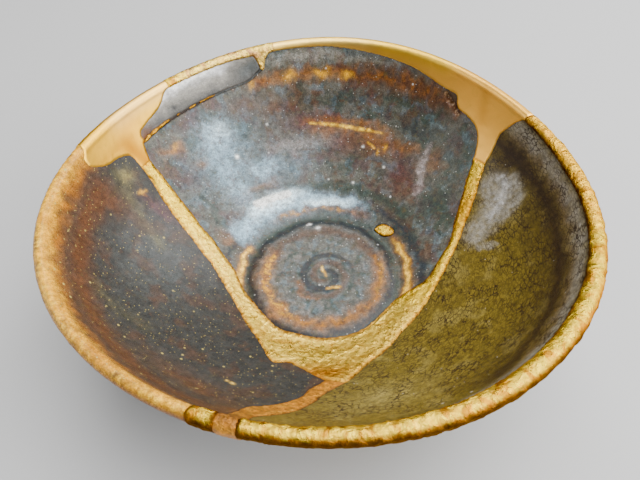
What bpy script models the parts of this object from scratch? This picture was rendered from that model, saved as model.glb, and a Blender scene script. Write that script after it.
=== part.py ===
"""Kintsugi sake cup: a shallow stoneware cup that was broken, rebuilt from four sherds of two pots, and
joined with gold and orange lacquer.

The whole cup is first turned on its axis, once at its true size for the sherds and once a little fatter for
the fills, which stand proud of the glaze. Each sherd is what lies inside its own outline, and each fill is
what the sherds leave free. A crack runs square through the wall, so all cuts point at one spot high over the
cup. Last, the round cup is bent to the wavy lip that the potter's hands and the kiln gave it.

Metres, +Z up. The cup stands on its foot ring at z = 0, with the origin under the middle of the whole cup.
"""
import math

import bmesh
import bpy
import numpy as np
from mathutils import Vector

MM = 0.001

# The turned cup
RIM_RADIUS = 45 * MM
CUP_HEIGHT = 36 * MM
INNER_DEPTH = 27.1 * MM
LIP_THICKNESS = 2.3 * MM
WALL_THICKNESS = 3.6 * MM
WELL_RADIUS = 20.9 * MM
WELL_STEP = 2.5 * MM
FOOT_RADIUS = 14.5 * MM
FOOT_RING_WIDTH = 3.0 * MM
FOOT_RING_HEIGHT = 4.6 * MM
FOOT_RECESS = 4.0 * MM
FOOT_EDGE = 0.4 * MM

# The repair
FILL_PROUD = 0.2 * MM
CLEARANCE = 0.3 * MM
CHIP_DEPTH = 0.9 * MM

# The lip waves in and out and up and down: waves round the lip, height of a wave, bearing of a crest
LIP_WAVES = ((2, 0.8 * MM, -35), (3, 0.95 * MM, -46))
WAVE_RISE_SHARE = 0.5
WAVE_START_SHARE = 0.4
WAVE_GROWTH = 1.5

# How finely the round forms are divided
TURN_STEPS = 64
WALL_STEPS = 8
LIP_STEPS = 5
BEARING_STEP = 6
SHARP_EDGE = 35
WELD = 0.002 * MM

# The throwing rings in the well, as shares of the well's radius and of its step
WELL_RINGS = (
    (0, 0), (0.53, 0.16), (0.63, 0.32), (0.68, 0.2), (0.75, 0.04), (0.82, 0.28), (0.92, 0.76),
)

# The bend of the wall from the well to the lip: the curve's handles as shares of the way out and up
WALL_BEND = ((0, 0), (0.69, 0.38), (0.865, 0.64), (1, 1))

# Outlines on the inside of the cup: a bearing in degrees, and a distance from the axis as a share of
# RIM_RADIUS. Bearing 0 is to the right, 90 is at the back. PAST_SHARE is well outside the lip.
PAST_SHARE = 1.16

FOOT_SHERD = (
    (147, 0.895), (149, 0.855), (149.5, 0.8), (151, 0.735), (153.5, 0.645), (157, 0.57), (158.5, 0.525),
    (165, 0.455), (171.5, 0.4), (180, 0.373), (192, 0.349), (204, 0.33), (217, 0.324), (233, 0.333),
    (247, 0.322), (266, 0.331), (294, 0.341), (313, 0.335), (326, 0.341), (336, 0.364), (342, 0.42),
    (346, 0.467), (351, 0.49), (358, 0.53), (3, 0.578), (11, 0.628), (17, 0.688), (22, 0.753), (26, 0.832),
    (28, 0.866), (31, 0.888), (35, 0.896), (40, 0.9), (40.5, 0.922), (46, 0.922), (57, 0.936), (70, 0.943),
    (87, 0.951), (99, 0.954), (101.5, 0.945), (102.8, 0.923), (108, 0.905), (127, 0.901), (144, 0.896),
)
LEFT_SHERD = (
    (162, PAST_SHARE), (162.5, 0.962), (165, 0.936), (160.5, 0.912), (155.5, 0.907), (152, 0.893),
    (152.3, 0.857), (153, 0.82), (155, 0.767), (158, 0.7), (164, 0.58), (172, 0.493), (181, 0.445),
    (193, 0.409), (206, 0.397), (220, 0.409), (229, 0.428), (235.5, 0.455), (241, 0.491), (246, 0.51),
    (249.5, 0.474), (257, 0.496), (268.7, 0.576), (262.6, 0.631), (262.3, 0.669), (257, 0.731),
    (249, 0.804), (248.5, 0.878), (249.8, 0.945), (245.3, 0.952), (245, PAST_SHARE),
)
RIGHT_SHERD = (
    (254, 0.953), (252.5, 0.855), (256, 0.82), (260, 0.78), (265, 0.706), (267.3, 0.66), (270.7, 0.627),
    (275.3, 0.6), (282.6, 0.544), (288, 0.511), (298, 0.491), (309, 0.468), (319, 0.467), (327.5, 0.478),
    (336, 0.492), (345.5, 0.515), (354, 0.552), (0.4, 0.598), (7.5, 0.651), (13, 0.713), (18.3, 0.782),
    (21, 0.829), (22.2, 0.887), (23.2, 0.899), (21, 0.933), (18, 0.957), (358, 0.947), (343, 0.96),
    (325, 0.947), (300, 0.942), (280, 0.947),
)
LIP_SHERD = (
    (103, 0.89), (146.3, 0.87), (146.3, 0.916), (140, 0.926), (137, 0.931), (134.5, 0.941), (133, 0.954),
    (131.5, 0.966), (110, 0.966), (104.5, 0.953), (103.4, 0.93),
)

# How far each fill may reach; the sherds that it lies between cut it to its own outline
NECK_SHARE = 0.853
BREAK_SHARE = 0.9
LEFT_LIP_FILL = ((131.3, PAST_SHARE), (131.3, NECK_SHARE), (170, NECK_SHARE), (170, PAST_SHARE))
RIGHT_LIP_FILL = (
    (98.8, PAST_SHARE), (98.8, BREAK_SHARE), (45, 0.85), (27, 0.812), (19.5, 0.835), (17.4, BREAK_SHARE),
    (17.4, PAST_SHARE),
)
WELL_SEAM = (
    (144, NECK_SHARE), (156, NECK_SHARE), (163, 0.72), (172, 0.6), (190, 0.52), (215, 0.5), (235, 0.56),
    (252, 0.6), (262, 0.575), (268.6, 0.579), (275.4, 0.604), (285, 0.62), (310, 0.6), (340, 0.62),
    (355, 0.68), (8, 0.78), (19.5, 0.835), (27, 0.812), (22, 0.6), (0, 0.4), (340, 0.25), (250, 0.2),
    (180, 0.25), (160, 0.4), (146, 0.7),
)
FRONT_SEAM = (
    (250, PAST_SHARE), (250, 0.94), (244, 0.93), (244, 0.8), (258, 0.6), (262, 0.575), (268.6, 0.579),
    (275.4, 0.604), (284, 0.66), (262, 0.87), (254.2, 0.93), (254.2, PAST_SHARE),
)
RIGHT_LIP_GILDING = ((17.4, PAST_SHARE), (17.4, BREAK_SHARE), (254.2, BREAK_SHARE), (254.2, PAST_SHARE))
BACK_LIP_GILDING = ((98.8, PAST_SHARE), (98.8, BREAK_SHARE), (131.3, BREAK_SHARE), (131.3, PAST_SHARE))
FRONT_CHIP_FILL = ((243, PAST_SHARE), (243, 0.94), (250, 0.94), (250, PAST_SHARE))
WELL_CHIP_FILL = ((41.6, 0.367), (41.3, 0.4), (35.4, 0.411), (29, 0.416), (29.1, 0.388), (33.8, 0.364))

# Worked out from the sizes above. The eye is the spot over the cup that every cut points at.
FLOOR = CUP_HEIGHT - INNER_DEPTH
WELL_TOP = FLOOR + WELL_STEP
LIP_CENTRE = (RIM_RADIUS - LIP_THICKNESS / 2, CUP_HEIGHT - LIP_THICKNESS / 2)
EYE = Vector((0, 0, CUP_HEIGHT + 0.45 * RIM_RADIUS))
CUT_TOP = CUP_HEIGHT + 0.2 * RIM_RADIUS
CUT_BOTTOM = -0.2 * RIM_RADIUS


def bezier(points, t):
    """The point at share t of the curve with these four handles."""
    u = 1 - t
    weights = (u ** 3, 3 * u * u * t, 3 * u * t * t, t ** 3)
    return sum(weight * np.array(point) for weight, point in zip(weights, points))


def inner_wall():
    """The inside of the wall from the well's edge up to the lip, as (distance from the axis, height)."""
    top = np.array((RIM_RADIUS - LIP_THICKNESS, LIP_CENTRE[1]))
    foot = np.array((WELL_RADIUS, WELL_TOP))
    handles = [foot + np.array(share) * (top - foot) for share in WALL_BEND]
    return [bezier(handles, step / WALL_STEPS) for step in range(WALL_STEPS + 1)]


def profile():
    """The whole cup's turned outline: out along the inside, over the lip, down the outside to the axis."""
    well = [np.array((x * WELL_RADIUS, FLOOR + z * WELL_STEP)) for x, z in WELL_RINGS]
    wall = inner_wall()
    turns = [math.pi * (1 - step / LIP_STEPS) for step in range(1, LIP_STEPS)]
    lip = [np.array(LIP_CENTRE) + LIP_THICKNESS / 2 * np.array((math.cos(a), math.sin(a))) for a in turns]
    outside = []
    for index in range(WALL_STEPS, -1, -1):
        before = wall[max(index - 1, 0)]
        after = wall[min(index + 1, WALL_STEPS)]
        along = (after - before) / np.linalg.norm(after - before)
        thickness = WALL_THICKNESS + (LIP_THICKNESS - WALL_THICKNESS) * index / WALL_STEPS
        outside.append(wall[index] + thickness * np.array((along[1], -along[0])))
    ring_inside = FOOT_RADIUS - FOOT_RING_WIDTH
    shoulder = (outside[-1] + np.array((FOOT_RADIUS, FOOT_RING_HEIGHT))) / 2
    foot = [
        shoulder, (FOOT_RADIUS, FOOT_RING_HEIGHT), (FOOT_RADIUS, FOOT_EDGE), (FOOT_RADIUS - FOOT_EDGE, 0),
        (ring_inside + FOOT_EDGE, 0), (ring_inside, FOOT_EDGE), (ring_inside, FOOT_RECESS - FOOT_EDGE),
        (ring_inside - FOOT_EDGE, FOOT_RECESS), (0, FOOT_RECESS),
    ]
    return np.array(well + wall + lip + outside + [np.array(point) for point in foot])


def fattened(points, amount):
    """The same turned outline, moved outwards everywhere by amount."""
    moved = points.copy()
    for index in range(len(points)):
        before = points[max(index - 1, 0)]
        after = points[min(index + 1, len(points) - 1)]
        along = (after - before) / np.linalg.norm(after - before)
        moved[index] += amount * np.array((-along[1], along[0]))
    moved[[0, -1], 0] = 0
    return moved


def turned_cup(name, points):
    """A whole cup: the outline turned about the vertical axis."""
    mesh = bpy.data.meshes.new(name)
    mesh.from_pydata([(x, 0, z) for x, z in points], [(i, i + 1) for i in range(len(points) - 1)], [])
    cup = bpy.data.objects.new(name, mesh)
    bpy.context.collection.objects.link(cup)
    screw = cup.modifiers.new("turn", "SCREW")
    screw.steps = TURN_STEPS
    screw.render_steps = TURN_STEPS
    screw.use_merge_vertices = True
    screw.merge_threshold = 0.01 * MM
    screw.use_normal_calculate = True
    return cup


INSIDE = np.array([(x * WELL_RADIUS, FLOOR + z * WELL_STEP) for x, z in WELL_RINGS] + inner_wall())


def on_the_wall(bearing, share):
    """The point on the inside of the cup at a bearing in degrees and a share of the rim's radius."""
    distance = share * RIM_RADIUS
    turn = math.radians(bearing)
    height = np.interp(distance, INSIDE[:, 0], INSIDE[:, 1])
    if share == PAST_SHARE:
        height = CUP_HEIGHT
    return Vector((distance * math.cos(turn), distance * math.sin(turn), height))


def traced(outline):
    """The outline as points on the wall, close enough together to follow it round the cup."""
    points = []
    for (bearing, share), (next_bearing, next_share) in zip(outline, outline[1:] + outline[:1]):
        turn = (next_bearing - bearing + 180) % 360 - 180
        steps = max(1, math.ceil(abs(turn) / BEARING_STEP))
        for step in range(steps):
            part = step / steps
            points.append(on_the_wall(bearing + turn * part, share + (next_share - share) * part))
    return points


def turns_left(points):
    """True if the outline runs anticlockwise, seen from above."""
    area = sum(a.x * b.y - b.x * a.y for a, b in zip(points, points[1:] + points[:1]))
    return area > 0


def grown(points, gap):
    """The outline moved outwards by gap, measured square to each cut."""
    if not turns_left(points):
        points = points[::-1]
    rays = [point - EYE for point in points]
    cuts = [a.cross(b).normalized() for a, b in zip(rays, rays[1:] + rays[:1])]
    moved = []
    for index, point in enumerate(points):
        before = cuts[index - 1]
        after = cuts[index]
        moved.append(point + gap * (before + after) / (1 + before.dot(after)))
    return moved


def cutter(name, points, bottom=CUT_BOTTOM):
    """A cutting body: the outline as a slice of the cone under the eye, from over the lip down to bottom."""
    if not turns_left(points):
        points = points[::-1]
    body = bmesh.new()
    rings = []
    for height in (CUT_TOP, bottom):
        rings.append([
            body.verts.new(EYE + (point - EYE) * (EYE.z - height) / (EYE.z - point.z)) for point in points
        ])
    top, low = rings
    body.faces.new(top)
    body.faces.new(low[::-1])
    for index in range(len(points)):
        body.faces.new((top[index - 1], low[index - 1], low[index], top[index]))
    bmesh.ops.recalc_face_normals(body, faces=body.faces)
    mesh = bpy.data.meshes.new(name)
    body.to_mesh(mesh)
    body.free()
    tool = bpy.data.objects.new(name, mesh)
    bpy.context.collection.objects.link(tool)
    tool.hide_render = True
    tool.display_type = "WIRE"
    return tool


def material(name, colour, roughness, metallic=0.0):
    """A plain surface in the real one's colour."""
    surface = bpy.data.materials.new(name)
    surface.use_nodes = True
    shader = surface.node_tree.nodes["Principled BSDF"]
    shader.inputs["Base Color"].default_value = (*colour, 1)
    shader.inputs["Roughness"].default_value = roughness
    shader.inputs["Metallic"].default_value = metallic
    surface.diffuse_color = (*colour, 1)
    return surface


def lip_wave(point):
    """The place where a point of the round cup goes on the wavy one."""
    distance = math.hypot(point.x, point.y)
    share = distance / RIM_RADIUS
    if share <= WAVE_START_SHARE:
        return point
    turn = math.atan2(point.y, point.x)
    wave = sum(height * math.cos(count * (turn - math.radians(crest))) for count, height, crest in LIP_WAVES)
    wave *= ((share - WAVE_START_SHARE) / (1 - WAVE_START_SHARE)) ** WAVE_GROWTH
    stretch = 1 + wave / distance
    return Vector((point.x * stretch, point.y * stretch, point.z + WAVE_RISE_SHARE * wave))


def finished(name, points, surface, cuts):
    """One piece: the whole cup with its cuts made, bent with the lip, and smooth but for its breaks."""
    piece = turned_cup(name, points)
    for tool, operation in cuts:
        step = piece.modifiers.new(tool.name, "BOOLEAN")
        step.operation = operation
        step.solver = "EXACT"
        step.object = tool
    seen = piece.evaluated_get(bpy.context.evaluated_depsgraph_get())
    body = bmesh.new()
    body.from_mesh(seen.to_mesh())
    seen.to_mesh_clear()
    bmesh.ops.remove_doubles(body, verts=body.verts, dist=WELD)
    bmesh.ops.dissolve_degenerate(body, edges=body.edges, dist=WELD)
    bmesh.ops.triangulate(body, faces=body.faces)
    for vert in body.verts:
        vert.co = lip_wave(vert.co)
    piece.modifiers.clear()
    piece.data.clear_geometry()
    body.to_mesh(piece.data)
    body.free()
    piece.data.materials.append(surface)
    piece.data.shade_smooth()
    piece.data.set_sharp_from_angle(angle=math.radians(SHARP_EDGE))
    return piece


def build():
    """Makes every piece and stands the cup on the origin."""
    for old in list(bpy.data.objects):
        bpy.data.objects.remove(old)

    cup = profile()
    fat_cup = fattened(cup, FILL_PROUD)

    dark_glaze = material("dark_glaze", (0.09, 0.055, 0.035), 0.3)
    mottled_glaze = material("mottled_glaze", (0.12, 0.11, 0.1), 0.25)
    olive_glaze = material("olive_glaze", (0.16, 0.12, 0.03), 0.3)
    grey_glaze = material("grey_glaze", (0.35, 0.36, 0.36), 0.25)
    satin_gold = material("satin_gold", (0.78, 0.5, 0.2), 0.4, 1.0)
    rough_gold = material("rough_gold", (0.8, 0.58, 0.2), 0.35, 1.0)
    orange_lacquer = material("orange_lacquer", (0.5, 0.23, 0.05), 0.4)

    sherds = {"foot": FOOT_SHERD, "left": LEFT_SHERD, "right": RIGHT_SHERD, "lip": LIP_SHERD}
    sherds = {name: traced(outline) for name, outline in sherds.items()}
    keep = {name: cutter("inside_" + name, points) for name, points in sherds.items()}
    clear = {name: cutter("around_" + name, grown(points, CLEARANCE)) for name, points in sherds.items()}

    chip = traced(WELL_CHIP_FILL)
    chip_floor = min(point.z for point in chip) - CHIP_DEPTH
    chip_pocket = cutter("chip_pocket", chip, chip_floor)
    chip_filling = cutter("chip_filling", grown(chip, -CLEARANCE), chip_floor + CLEARANCE)

    foot_cuts = [(keep["foot"], "INTERSECT"), (chip_pocket, "DIFFERENCE")]
    lip_cuts = [(keep["lip"], "INTERSECT"), (clear["foot"], "DIFFERENCE")]
    pieces = [
        finished("foot_sherd", cup, mottled_glaze, foot_cuts),
        finished("left_sherd", cup, dark_glaze, [(keep["left"], "INTERSECT")]),
        finished("right_sherd", cup, olive_glaze, [(keep["right"], "INTERSECT")]),
        finished("lip_sherd", cup, grey_glaze, lip_cuts),
        finished("well_chip_fill", fat_cup, rough_gold, [(chip_filling, "INTERSECT")]),
    ]
    fills = (
        ("left_lip_fill", LEFT_LIP_FILL, satin_gold, ("foot", "left", "lip")),
        ("right_lip_fill", RIGHT_LIP_FILL, satin_gold, ("foot", "right")),
        ("well_seam", WELL_SEAM, rough_gold, ("foot", "left", "right")),
        ("front_seam", FRONT_SEAM, orange_lacquer, ("left", "right")),
        ("right_lip_gilding", RIGHT_LIP_GILDING, rough_gold, ("right",)),
        ("back_lip_gilding", BACK_LIP_GILDING, rough_gold, ("foot", "lip")),
        ("front_chip_fill", FRONT_CHIP_FILL, rough_gold, ("left",)),
    )
    for name, reach, surface, neighbours in fills:
        room = cutter("room_" + name, grown(traced(reach), -CLEARANCE / 2))
        cuts = [(room, "INTERSECT")] + [(clear[sherd], "DIFFERENCE") for sherd in neighbours]
        pieces.append(finished(name, fat_cup, surface, cuts))

    corners = np.array([vert.co for piece in pieces for vert in piece.data.vertices])
    middle = (corners.min(axis=0) + corners.max(axis=0)) / 2
    stand = bpy.data.objects.new("cup", None)
    bpy.context.collection.objects.link(stand)
    stand.location = (-middle[0], -middle[1], 0)
    for piece in pieces:
        piece.parent = stand


build()
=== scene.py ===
# %% [markdown]
# # A kintsugi sake cup
#
# The cup is a wide, shallow stoneware cup that was broken and rebuilt. Three of its sherds come from one
# pot with a mottled iron glaze. The fourth is an olive sherd from another pot. Gold and orange lacquer join
# them.
#
# The frame gives the solids of every sherd and fill. This lesson dresses each of them with a fine skin of
# its own: the same turned form and the same cracks, cut into much smaller faces, so that it can carry
# throwing rings, lumpy gold and crisp broken edges.

# %% Load the solids that carry the cup
import math

import bmesh
import bpy
import numpy as np
from mathutils import Matrix, Vector, kdtree, noise
from mathutils.geometry import delaunay_2d_cdt


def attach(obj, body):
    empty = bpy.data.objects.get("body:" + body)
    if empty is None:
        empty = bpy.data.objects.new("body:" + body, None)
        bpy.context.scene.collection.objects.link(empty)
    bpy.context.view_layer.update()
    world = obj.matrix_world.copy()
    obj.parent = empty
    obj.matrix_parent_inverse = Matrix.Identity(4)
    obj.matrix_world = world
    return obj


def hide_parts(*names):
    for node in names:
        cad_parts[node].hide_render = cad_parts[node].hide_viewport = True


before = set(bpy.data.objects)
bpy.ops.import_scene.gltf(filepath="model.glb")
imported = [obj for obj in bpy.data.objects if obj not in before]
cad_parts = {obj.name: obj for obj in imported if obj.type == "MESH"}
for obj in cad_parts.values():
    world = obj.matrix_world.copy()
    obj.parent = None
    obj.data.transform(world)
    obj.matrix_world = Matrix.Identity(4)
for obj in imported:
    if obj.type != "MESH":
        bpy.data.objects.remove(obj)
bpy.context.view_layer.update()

print("solids:", sorted(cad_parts))

# %% [markdown]
# ## Sizes
#
# All lengths here are millimetres, as a potter would say them, and are turned into metres only where a mesh
# is made. They are the sizes that the solids were turned from, so the skins lie where the solids are.

# %% Sizes of the turned cup
METRE = 0.001

RIM_RADIUS = 45.0
CUP_HEIGHT = 36.0
INNER_DEPTH = 27.1
LIP_THICKNESS = 2.3
WALL_THICKNESS = 3.6
WELL_RADIUS = 20.9
WELL_STEP = 2.5
FOOT_RADIUS = 14.5
FOOT_RING_WIDTH = 3.0
FOOT_RING_HEIGHT = 4.6
FOOT_RECESS = 4.0
FOOT_EDGE = 0.4
FLOOR = CUP_HEIGHT - INNER_DEPTH
LIP_MIDDLE = (RIM_RADIUS - LIP_THICKNESS / 2, CUP_HEIGHT - LIP_THICKNESS / 2)

# The spot on the axis, high over the cup, that every crack points at
EYE_SHARE = 0.45
EYE_HEIGHT = CUP_HEIGHT + EYE_SHARE * RIM_RADIUS

# Waves round the lip, height of a wave, bearing of a crest
LIP_WAVES = ((2, 0.8, -35), (3, 0.95, -46))
WAVE_RISE = 0.5
WAVE_START = 0.4
WAVE_GROWTH = 1.5

# Throwing rings in the well and the bend of the wall, as shares of the well and of the wall
WELL_RINGS = ((0, 0), (0.53, 0.16), (0.63, 0.32), (0.68, 0.2), (0.75, 0.04), (0.82, 0.28), (0.92, 0.76))
WALL_BEND = ((0, 0), (0.69, 0.38), (0.865, 0.64), (1, 1))

# What lies lower than this stands on the table
TABLE_GAP = 0.05


def cup_axis():
    """Where the cup's axis stands: the middle of the foot ring's flat underside, read from the frame."""
    low = [v.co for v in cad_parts["foot_sherd"].data.vertices if v.co.z < TABLE_GAP * METRE]
    return tuple((min(p[i] for p in low) + max(p[i] for p in low)) / 2 / METRE for i in (0, 1))


AXIS = cup_axis()
print("the axis stands at %.2f, %.2f mm" % AXIS)

# %% [markdown]
# ## The turned outline
#
# A thrown cup is a turned form, so one outline describes it: out along the inside, over the lip and down
# the outside. A Screw modifier would turn it, but the cracks then have to be cut with Booleans, which leave
# long thin faces that can't carry relief. Here the outline stays a pair of smooth curves that any point can
# be looked up on, and each skin is laid straight on them.

# %% The outline, as an inside and an outside curve
CURVE_STEP = 0.1
GLAZE_ROUNDING = 1.5
ROUNDING = 0.7
WALL_POINTS = 60
LIP_POINTS = 24


def bezier(handles, t):
    """Points of the curve with four handles at the shares t."""
    t = np.asarray(t)[:, None]
    a, b, c, d = (np.array(handle, float) for handle in handles)
    return (1 - t) ** 3 * a + 3 * (1 - t) ** 2 * t * b + 3 * (1 - t) * t * t * c + t ** 3 * d


def measured_along(points):
    """The distance from the first point to each point along a line of points."""
    return np.concatenate(([0], np.cumsum(np.linalg.norm(np.diff(points, axis=0), axis=1))))


def directions(points):
    """The way a line of points runs at each of them, as vectors of length 1."""
    slope = np.gradient(points, axis=0)
    return slope / np.linalg.norm(slope, axis=1)[:, None]


def to_the_right(ways):
    """Directions turned a quarter to the right."""
    return np.stack((ways[:, 1], -ways[:, 0]), axis=1)


def tilt_of(points):
    """The angle off the axis at which the eye over the cup sees points of the outline."""
    return np.arctan2(points[..., 0], EYE_HEIGHT - points[..., 1])


def rounded_off(points, rounding):
    """The line again in short even steps, with its corners rounded over that many millimetres."""
    along = measured_along(points)
    steps = np.linspace(0, along[-1], int(along[-1] / CURVE_STEP) + 1)
    even = np.stack([np.interp(steps, along, points[:, i]) for i in (0, 1)], axis=1)
    reach = int(rounding / CURVE_STEP / 2)
    window = np.ones(2 * reach + 1) / (2 * reach + 1)
    padded = np.concatenate((2 * even[0] - even[reach:0:-1], even, 2 * even[-1] - even[-2:-reach - 2:-1]))
    return np.stack([np.convolve(padded[:, i], window, "valid") for i in (0, 1)], axis=1)


def inside_line():
    """The inside from the axis in the well up to the lip, before its corners are rounded off."""
    well = np.array([(x * WELL_RADIUS, FLOOR + z * WELL_STEP) for x, z in WELL_RINGS])
    foot = np.array((WELL_RADIUS, FLOOR + WELL_STEP))
    top = np.array((RIM_RADIUS - LIP_THICKNESS, LIP_MIDDLE[1]))
    handles = [foot + np.array(share) * (top - foot) for share in WALL_BEND]
    return np.concatenate((well, bezier(handles, np.linspace(0, 1, WALL_POINTS))))


def whole_outline():
    """The whole turned outline, from the axis in the well to the axis under the foot."""
    wall = INSIDE_LINE[len(WELL_RINGS):]
    turn = np.linspace(math.pi, 0, LIP_POINTS)[1:-1]
    lip = np.array(LIP_MIDDLE) + LIP_THICKNESS / 2 * np.stack((np.cos(turn), np.sin(turn)), axis=1)
    thickness = np.linspace(WALL_THICKNESS, LIP_THICKNESS, WALL_POINTS)[:, None]
    outside = (wall + thickness * to_the_right(directions(wall)))[::-1]
    ring_inside = FOOT_RADIUS - FOOT_RING_WIDTH
    shoulder = (outside[-1] + np.array((FOOT_RADIUS, FOOT_RING_HEIGHT))) / 2
    foot = np.array([
        shoulder, (FOOT_RADIUS, FOOT_RING_HEIGHT), (FOOT_RADIUS, FOOT_EDGE), (FOOT_RADIUS - FOOT_EDGE, 0),
        (ring_inside + FOOT_EDGE, 0), (ring_inside, FOOT_EDGE), (ring_inside, FOOT_RECESS - FOOT_EDGE),
        (ring_inside - FOOT_EDGE, FOOT_RECESS), (0, FOOT_RECESS),
    ])
    inside = rounded_off(INSIDE_LINE, GLAZE_ROUNDING)
    return rounded_off(np.concatenate((inside, lip, outside, foot)), ROUNDING)


class Curve:
    """One side of the cup: how far out and how high it is at each distance along it from the axis."""

    def __init__(self, points, outward):
        self.along = measured_along(points)
        self.points = points
        self.normal = -outward * to_the_right(directions(points))
        self.tilt = tilt_of(points)
        self.length = self.along[-1]

    def at(self, along):
        """Distance from the axis, height and the way the surface faces, at distances along the curve."""
        where = [np.interp(along, self.along, self.points[:, i]) for i in (0, 1)]
        facing = [np.interp(along, self.along, self.normal[:, i]) for i in (0, 1)]
        return where, facing

    def seen_at(self, tilt):
        """The distance along the curve where a ray from the eye at this tilt meets it."""
        return np.interp(tilt, np.maximum.accumulate(self.tilt), self.along)


INSIDE_LINE = inside_line()
OUTLINE = whole_outline()
HORIZON = int(np.argmax(tilt_of(OUTLINE)))
INSIDE = Curve(OUTLINE[:HORIZON + 1], 1)
OUTSIDE = Curve(OUTLINE[HORIZON:][::-1], -1)
print("inside %.1f mm and outside %.1f mm from the axis to the lip" % (INSIDE.length, OUTSIDE.length))

# %% [markdown]
# ## From the flat map to the cup
#
# Each skin is drawn on a flat map first, as a potter might unroll a dish: the bearing stays, and the
# distance from the middle of the map is the distance along the surface. A crack runs square through the
# wall, along rays from one spot high over the cup, so the map of the outside is found from the map of the
# inside.


# %% Put points of the flat map on the cup
def polar(flat):
    """How far flat points lie from the middle of the map, and their bearings in radians."""
    return np.hypot(*flat.T), np.arctan2(flat[:, 1], flat[:, 0])


def lip_wave(x, y, z):
    """The round cup bent to its wavy lip."""
    far = np.hypot(x, y)
    turn = np.arctan2(y, x)
    wave = sum(height * np.cos(count * (turn - math.radians(crest))) for count, height, crest in LIP_WAVES)
    share = np.clip((far / RIM_RADIUS - WAVE_START) / (1 - WAVE_START), 0, None)
    wave = wave * share ** WAVE_GROWTH
    stretch = 1 + wave / np.maximum(far, 1)
    return x * stretch, y * stretch, z + WAVE_RISE * wave


def on_the_cup(curve, flat, raised):
    """Places in the frame, in millimetres, of flat points that are raised above one side of the cup."""
    along, turn = polar(flat)
    (far, high), (out, up) = curve.at(along)
    far = far + raised * out
    x, y, z = lip_wave(far * np.cos(turn), far * np.sin(turn), high + raised * up)
    return np.stack((x + AXIS[0], y + AXIS[1], z), axis=1)


OVER = 1.04
TIP = INSIDE.length


def along_at(share):
    """The distance along the inside from the middle to a share of the rim's radius."""
    far = np.asarray(share, float) * RIM_RADIUS
    return INSIDE.seen_at(tilt_of(np.stack((far, np.interp(far, *INSIDE_LINE.T)), axis=-1)))


def flat_point(bearing, share):
    """The place on the flat map at a bearing in degrees and a share of the rim's radius."""
    along = np.where(np.asarray(share) >= OVER, TIP, along_at(share))
    turn = np.radians(bearing)
    return np.stack((along * np.cos(turn), along * np.sin(turn)), axis=-1)


print("a crack at 0.5 of the rim is %.1f mm out on the map, and the lip %.1f mm" % (along_at(0.5), TIP))

# %% [markdown]
# ## The cracks
#
# Each crack has two sides, because lacquer or a missing flake lies between them. Every side is written
# once, as bearings in degrees (0 to the right, 90 to the back) and shares of the rim's radius. A share of
# OVER runs on over the lip. A sherd and the fill beside it then use the same side, so they always meet.

# %% The sides of the cracks, by bearing and share of the rim
SIDES = {
    "foot_left": (
        (149, .855), (149.5, .8), (151, .735), (153.5, .645), (157, .57), (158.5, .525), (165, .455),
        (171.5, .4), (180, .373), (192, .349), (204, .33), (217, .324), (233, .333), (247, .322),
        (266, .331), (294, .341), (313, .335), (326, .341), (336, .364), (342, .42), (346, .467),
        (351, .49), (358, .53), (3, .578), (11, .628), (17, .688), (22, .753), (25.5, .82),
    ),
    "foot_right": (
        (25.5, .82), (26, .832), (28, .866), (31, .888), (35, .896), (40, .9), (40.5, .922), (46, .922),
        (57, .936), (70, .943), (87, .951), (99, .954),
    ),
    "foot_chip": ((99, .954), (101.5, .945), (102.8, .923)),
    "foot_lip": ((102.8, .923), (108, .905), (127, .901), (144, .896), (147, .895)),
    "foot_neck": ((147, .895), (149, .855)),
    "left_top": (
        (162, OVER), (162.5, .962), (165, .936), (160.5, .912), (155.5, .907), (152, .893),
        (152.3, .857),
    ),
    "left_seam": (
        (152.3, .857), (153, .82), (155, .767), (158, .7), (164, .58), (172, .493), (181, .445),
        (193, .409), (206, .397), (220, .409), (229, .428), (235.5, .455), (241, .491), (246, .51),
        (249.5, .474), (257, .496), (268.7, .576),
    ),
    "left_front": (
        (268.7, .576), (262.6, .631), (262.3, .669), (257, .731), (249, .804), (248.5, .878),
        (249.8, .945),
    ),
    "left_chip": ((249.8, .945), (245.3, .952), (245, OVER)),
    "left_lip": ((245, OVER), (204, OVER), (162, OVER)),
    "right_front": (
        (254, .953), (252.5, .855), (256, .82), (260, .78), (265, .706), (267.3, .66), (270.7, .627),
        (275.3, .6),
    ),
    "right_seam": (
        (275.3, .6), (282.6, .544), (288, .511), (298, .491), (309, .468), (319, .467), (327.5, .478),
        (336, .492), (345.5, .515), (354, .552), (0.4, .598), (7.5, .651), (13, .713), (18.3, .782),
        (21, .829),
    ),
    "right_top": ((21, .829), (22.2, .887), (23.2, .899), (21, .933), (18, .957)),
    "right_lip": ((18, .957), (358, .947), (343, .96), (325, .947), (300, .942), (280, .947), (254, .953)),
    "lip_foot": ((103.3, .926), (108, .908), (127, .904), (144, .899), (146.3, .898)),
    "lip_left": (
        (146.3, .898), (146.3, .916), (140, .926), (137, .931), (134.5, .941), (133, .954),
        (131.5, .966),
    ),
    "lip_top": ((131.5, .966), (110, .966), (104.5, .953), (103.4, .93), (103.3, .926)),
}

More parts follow.
